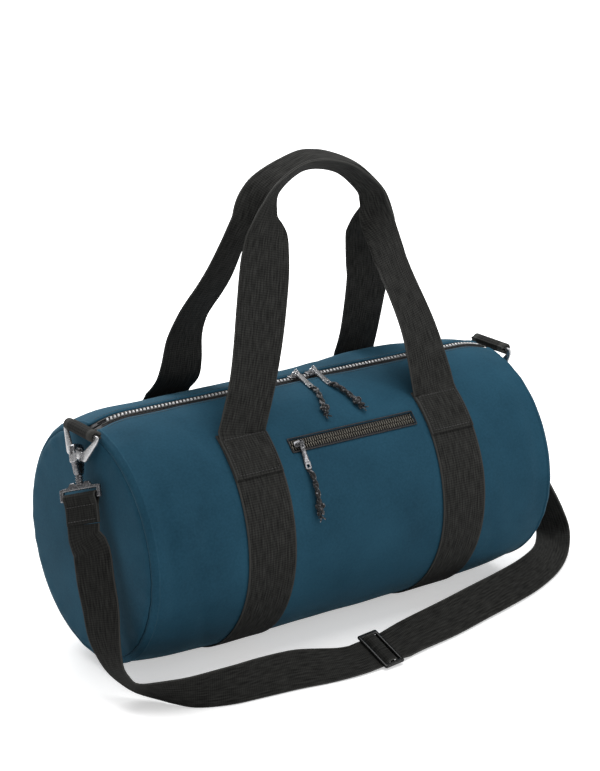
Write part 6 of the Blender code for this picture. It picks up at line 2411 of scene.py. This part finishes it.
            spread = math.cos(turn) * sideways[-1] + 0.5 * (1 + math.sin(turn)) * lift[-1]
            run = runs[-1] * (0.8 + 0.35 * math.sin(3 * turn))
            hair = fine[-1] + steps * run * self.fray_length + steps ** 1.6 * spread * self.fray_length * 0.7
            pieces.append(closed_surface("fray", round_wire(hair, radii=0.00055, sides=6), self.cord))
        knot = settle(joined("pull_" + self.label + "_knot", pieces), self.pull_body, "cord")
        piece = joined("pull_" + self.label + "_cord_twisted", strands)
        settle(piece, self.pull_body, "cord", "pull_" + self.label + "_cord")

    @staticmethod
    def free_wire(path: Array, radius: float) -> Array:
        """Wire round a closed path that leaves its plane: the normal points away from its middle.

        Args:
            path: rows x 3 places of the wire's middle.
            radius: the wire's radius.

        Returns:
            Loops of the wire, rows x columns x 3.
        """
        tangents = tangents_of(path, closed=True)
        outwards = path - path.mean(axis=0)
        outwards = unit(outwards - (outwards * tangents).sum(1, keepdims=True) * tangents)
        angles = np.linspace(0, TURN, 8, endpoint=False)
        circle = stacked(np.cos(angles), np.sin(angles)) * radius
        return carried(circle, path, outwards, np.cross(tangents, outwards))


@dataclass
class SliderSet:
    """Two sliders head to head on the main zip and one on the pocket."""

    metal: bpy.types.Material
    bright: bpy.types.Material
    cord: bpy.types.Material
    spacing: float = 0.0220
    middle: float = 0.0055
    main: SliderSize = SliderSize(length=0.0160, width=0.0110, teeth_height=0.0022, tab_length=0.0265,
                                  cord_reach=0.0700)
    pocket: SliderSize = SliderSize(length=0.0120, width=0.0080, teeth_height=0.0014, tab_length=0.0240,
                                    cord_reach=0.0710)
    pocket_x: float = -0.060
    clearance: float = 0.0006
    cord_height: float = 0.0032

    def build(self) -> None:
        """Make all three."""
        for side, lean in ((Side.LEFT, -0.008), (Side.RIGHT, 0.015)):
            x = self.middle + side.value * self.spacing / 2
            _, centre, above, _ = BARREL.section(np.array(x))
            place = Place(np.array([x, ZIP_Y, float(centre + above)]), X_AXIS, Y_AXIS, Z_AXIS)
            self.make(side.word, place, self.main, lean, side is Side.RIGHT)
        self.make("pocket", BARREL.place(self.pocket_x, SLIT.middle), self.pocket, cord_lean=0.002,
                  flipped=False)

    def make(self, label: str, place: Place, size: SliderSize, cord_lean: float, flipped: bool) -> None:
        """One slider, with its tab leant onto the cloth and its cord laid down it.

        Args:
            label: left, right or pocket.
            place: axes on the cloth where the slider rests.
            size: the slider's and pull's sizes.
            cord_lean: how far the cord leans along the barrel.
            flipped: True for a slider that points the other way.
        """
        pull = SliderPull
        bar = TEETH_SEAT + size.teeth_height + GAP + pull.plate + pull.bail_rise
        pivot = place.at(np.array([0.0, 0.0, bar]))
        reach = 2 * pull.link_radius - pull.link_wire - pull.bail_wire - GAP + size.tab_length
        leans = np.radians(np.arange(0.5, 60.0, 0.5))
        ends = pivot + reach * (-place.y * np.cos(leans)[:, None] - place.z * np.sin(leans)[:, None])
        clear = self.above_cloth(ends) < pull.tab_thickness / 2 + self.clearance
        lean = float(leans[max(int(np.argmax(clear)) - 1, 0)]) if clear.any() else 0.0
        start = pivot + (reach + GAP) * (-place.y * math.cos(lean) - place.z * math.sin(lean))
        half_width, centre, above, _ = BARREL.section(np.array(start[0]))
        start_angle = math.atan2(-start[1] / half_width, (start[2] - centre) / above)
        shares = np.linspace(0, 1, 9)
        run = size.cord_reach - reach
        angles = start_angle + BARREL.turn_of(run) * shares
        first = float(self.above_cloth(start[None])[0])
        heights = np.maximum(first * (1 - shares * 2.5), self.cord_height)
        wander = np.sin(shares * math.pi * 1.5) * 0.0008
        points = BARREL.at(start[0] + cord_lean * shares + wander, angles, heights)
        points[0] = start
        tab_metal = self.metal if label == "pocket" else self.bright
        pull(self.metal, tab_metal, self.cord, label, place, size, points, lean, flipped).build()

    @staticmethod
    def above_cloth(points: Array) -> Array:
        """Height of points above the cloth, along the section's radius.

        Args:
            points: places, ... x 3.

        Returns:
            One height for each point.
        """
        half_width, centre, above, below = BARREL.section(points[:, 0])
        height = np.where(points[:, 2] >= centre, above, below)
        scale = np.hypot(points[:, 1] / half_width, (points[:, 2] - centre) / height)
        return (scale - 1.0) * np.minimum(half_width, height)


def dress_inner(lining: bpy.types.Material) -> None:
    """Give the CAD pieces that stay inside the bag their lining cloth."""
    for node in ("seam_binding_left", "seam_binding_right", "pocket_bag"):
        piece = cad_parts[node]
        piece.data.materials.clear()
        piece.data.materials.append(lining)


def main() -> None:
    """Build the scene in order and report each piece."""
    logging.basicConfig(level=logging.INFO, format="%(message)s")
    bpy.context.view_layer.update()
    PhotoCamera().build()
    Studio().build()
    canvas = WovenCanvas("woven_canvas").build()
    # Both webbings carry a paler band along their edges, a painted highlight.
    webbing = RibbedWebbing("ribbed_webbing").build()
    strap_webbing = RibbedWebbing("strap_webbing", dark="121211", light="333331", edge_highlight_start=0.0180,
                                  rib_pitch=0.0021, cord_pitch=0.0031).build()
    lining = WovenCanvas("lining_cloth", dark="1a1a1b", light="29292b", sheen=0.05).build()
    thread = SpunThread("sewing_thread").build()
    # The cord's pale flecks are painted glints of its glossy fibres.
    cord = SpunThread("twisted_cord", dark="060607", light="a09ea2", twist_scale=480.0, fleck_and_glint_start=0.55,
                      fleck_and_glint_full=0.72).build()
    tape = HerringboneTape("herringbone_tape").build()
    teeth = PlatedMetal("cast_teeth", colour="e4e4e5", rubbed="fafafa", roughness=0.36, metallic=0.45).build()
    dark_teeth = PlatedMetal("dark_teeth", colour="6d6960", rubbed="8d887d", roughness=0.42,
                             metallic=0.5).build()
    gunmetal = PlatedMetal("black_nickel", colour="6d6d70", rubbed="a5a5a7", metallic=0.9).build()
    nickel = PlatedMetal("bright_nickel", colour="c6c6c8", rubbed="ececec", roughness=0.22,
                         metallic=0.8).build()
    acetal = MouldedAcetal("moulded_acetal").build()
    ShoulderStrap(strap_webbing, acetal).build()
    BarrelCloth(canvas, thread).build()
    CarryHandles(webbing, thread).build()
    MainZip(tape, teeth, thread).build()
    PocketZip(tape, dark_teeth, thread).build()
    SliderSet(gunmetal, nickel, cord).build()
    SnapHooks(gunmetal, nickel, strap_webbing, thread).build()
    dress_inner(lining)
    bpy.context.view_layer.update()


if __name__ == "__main__":
    main()
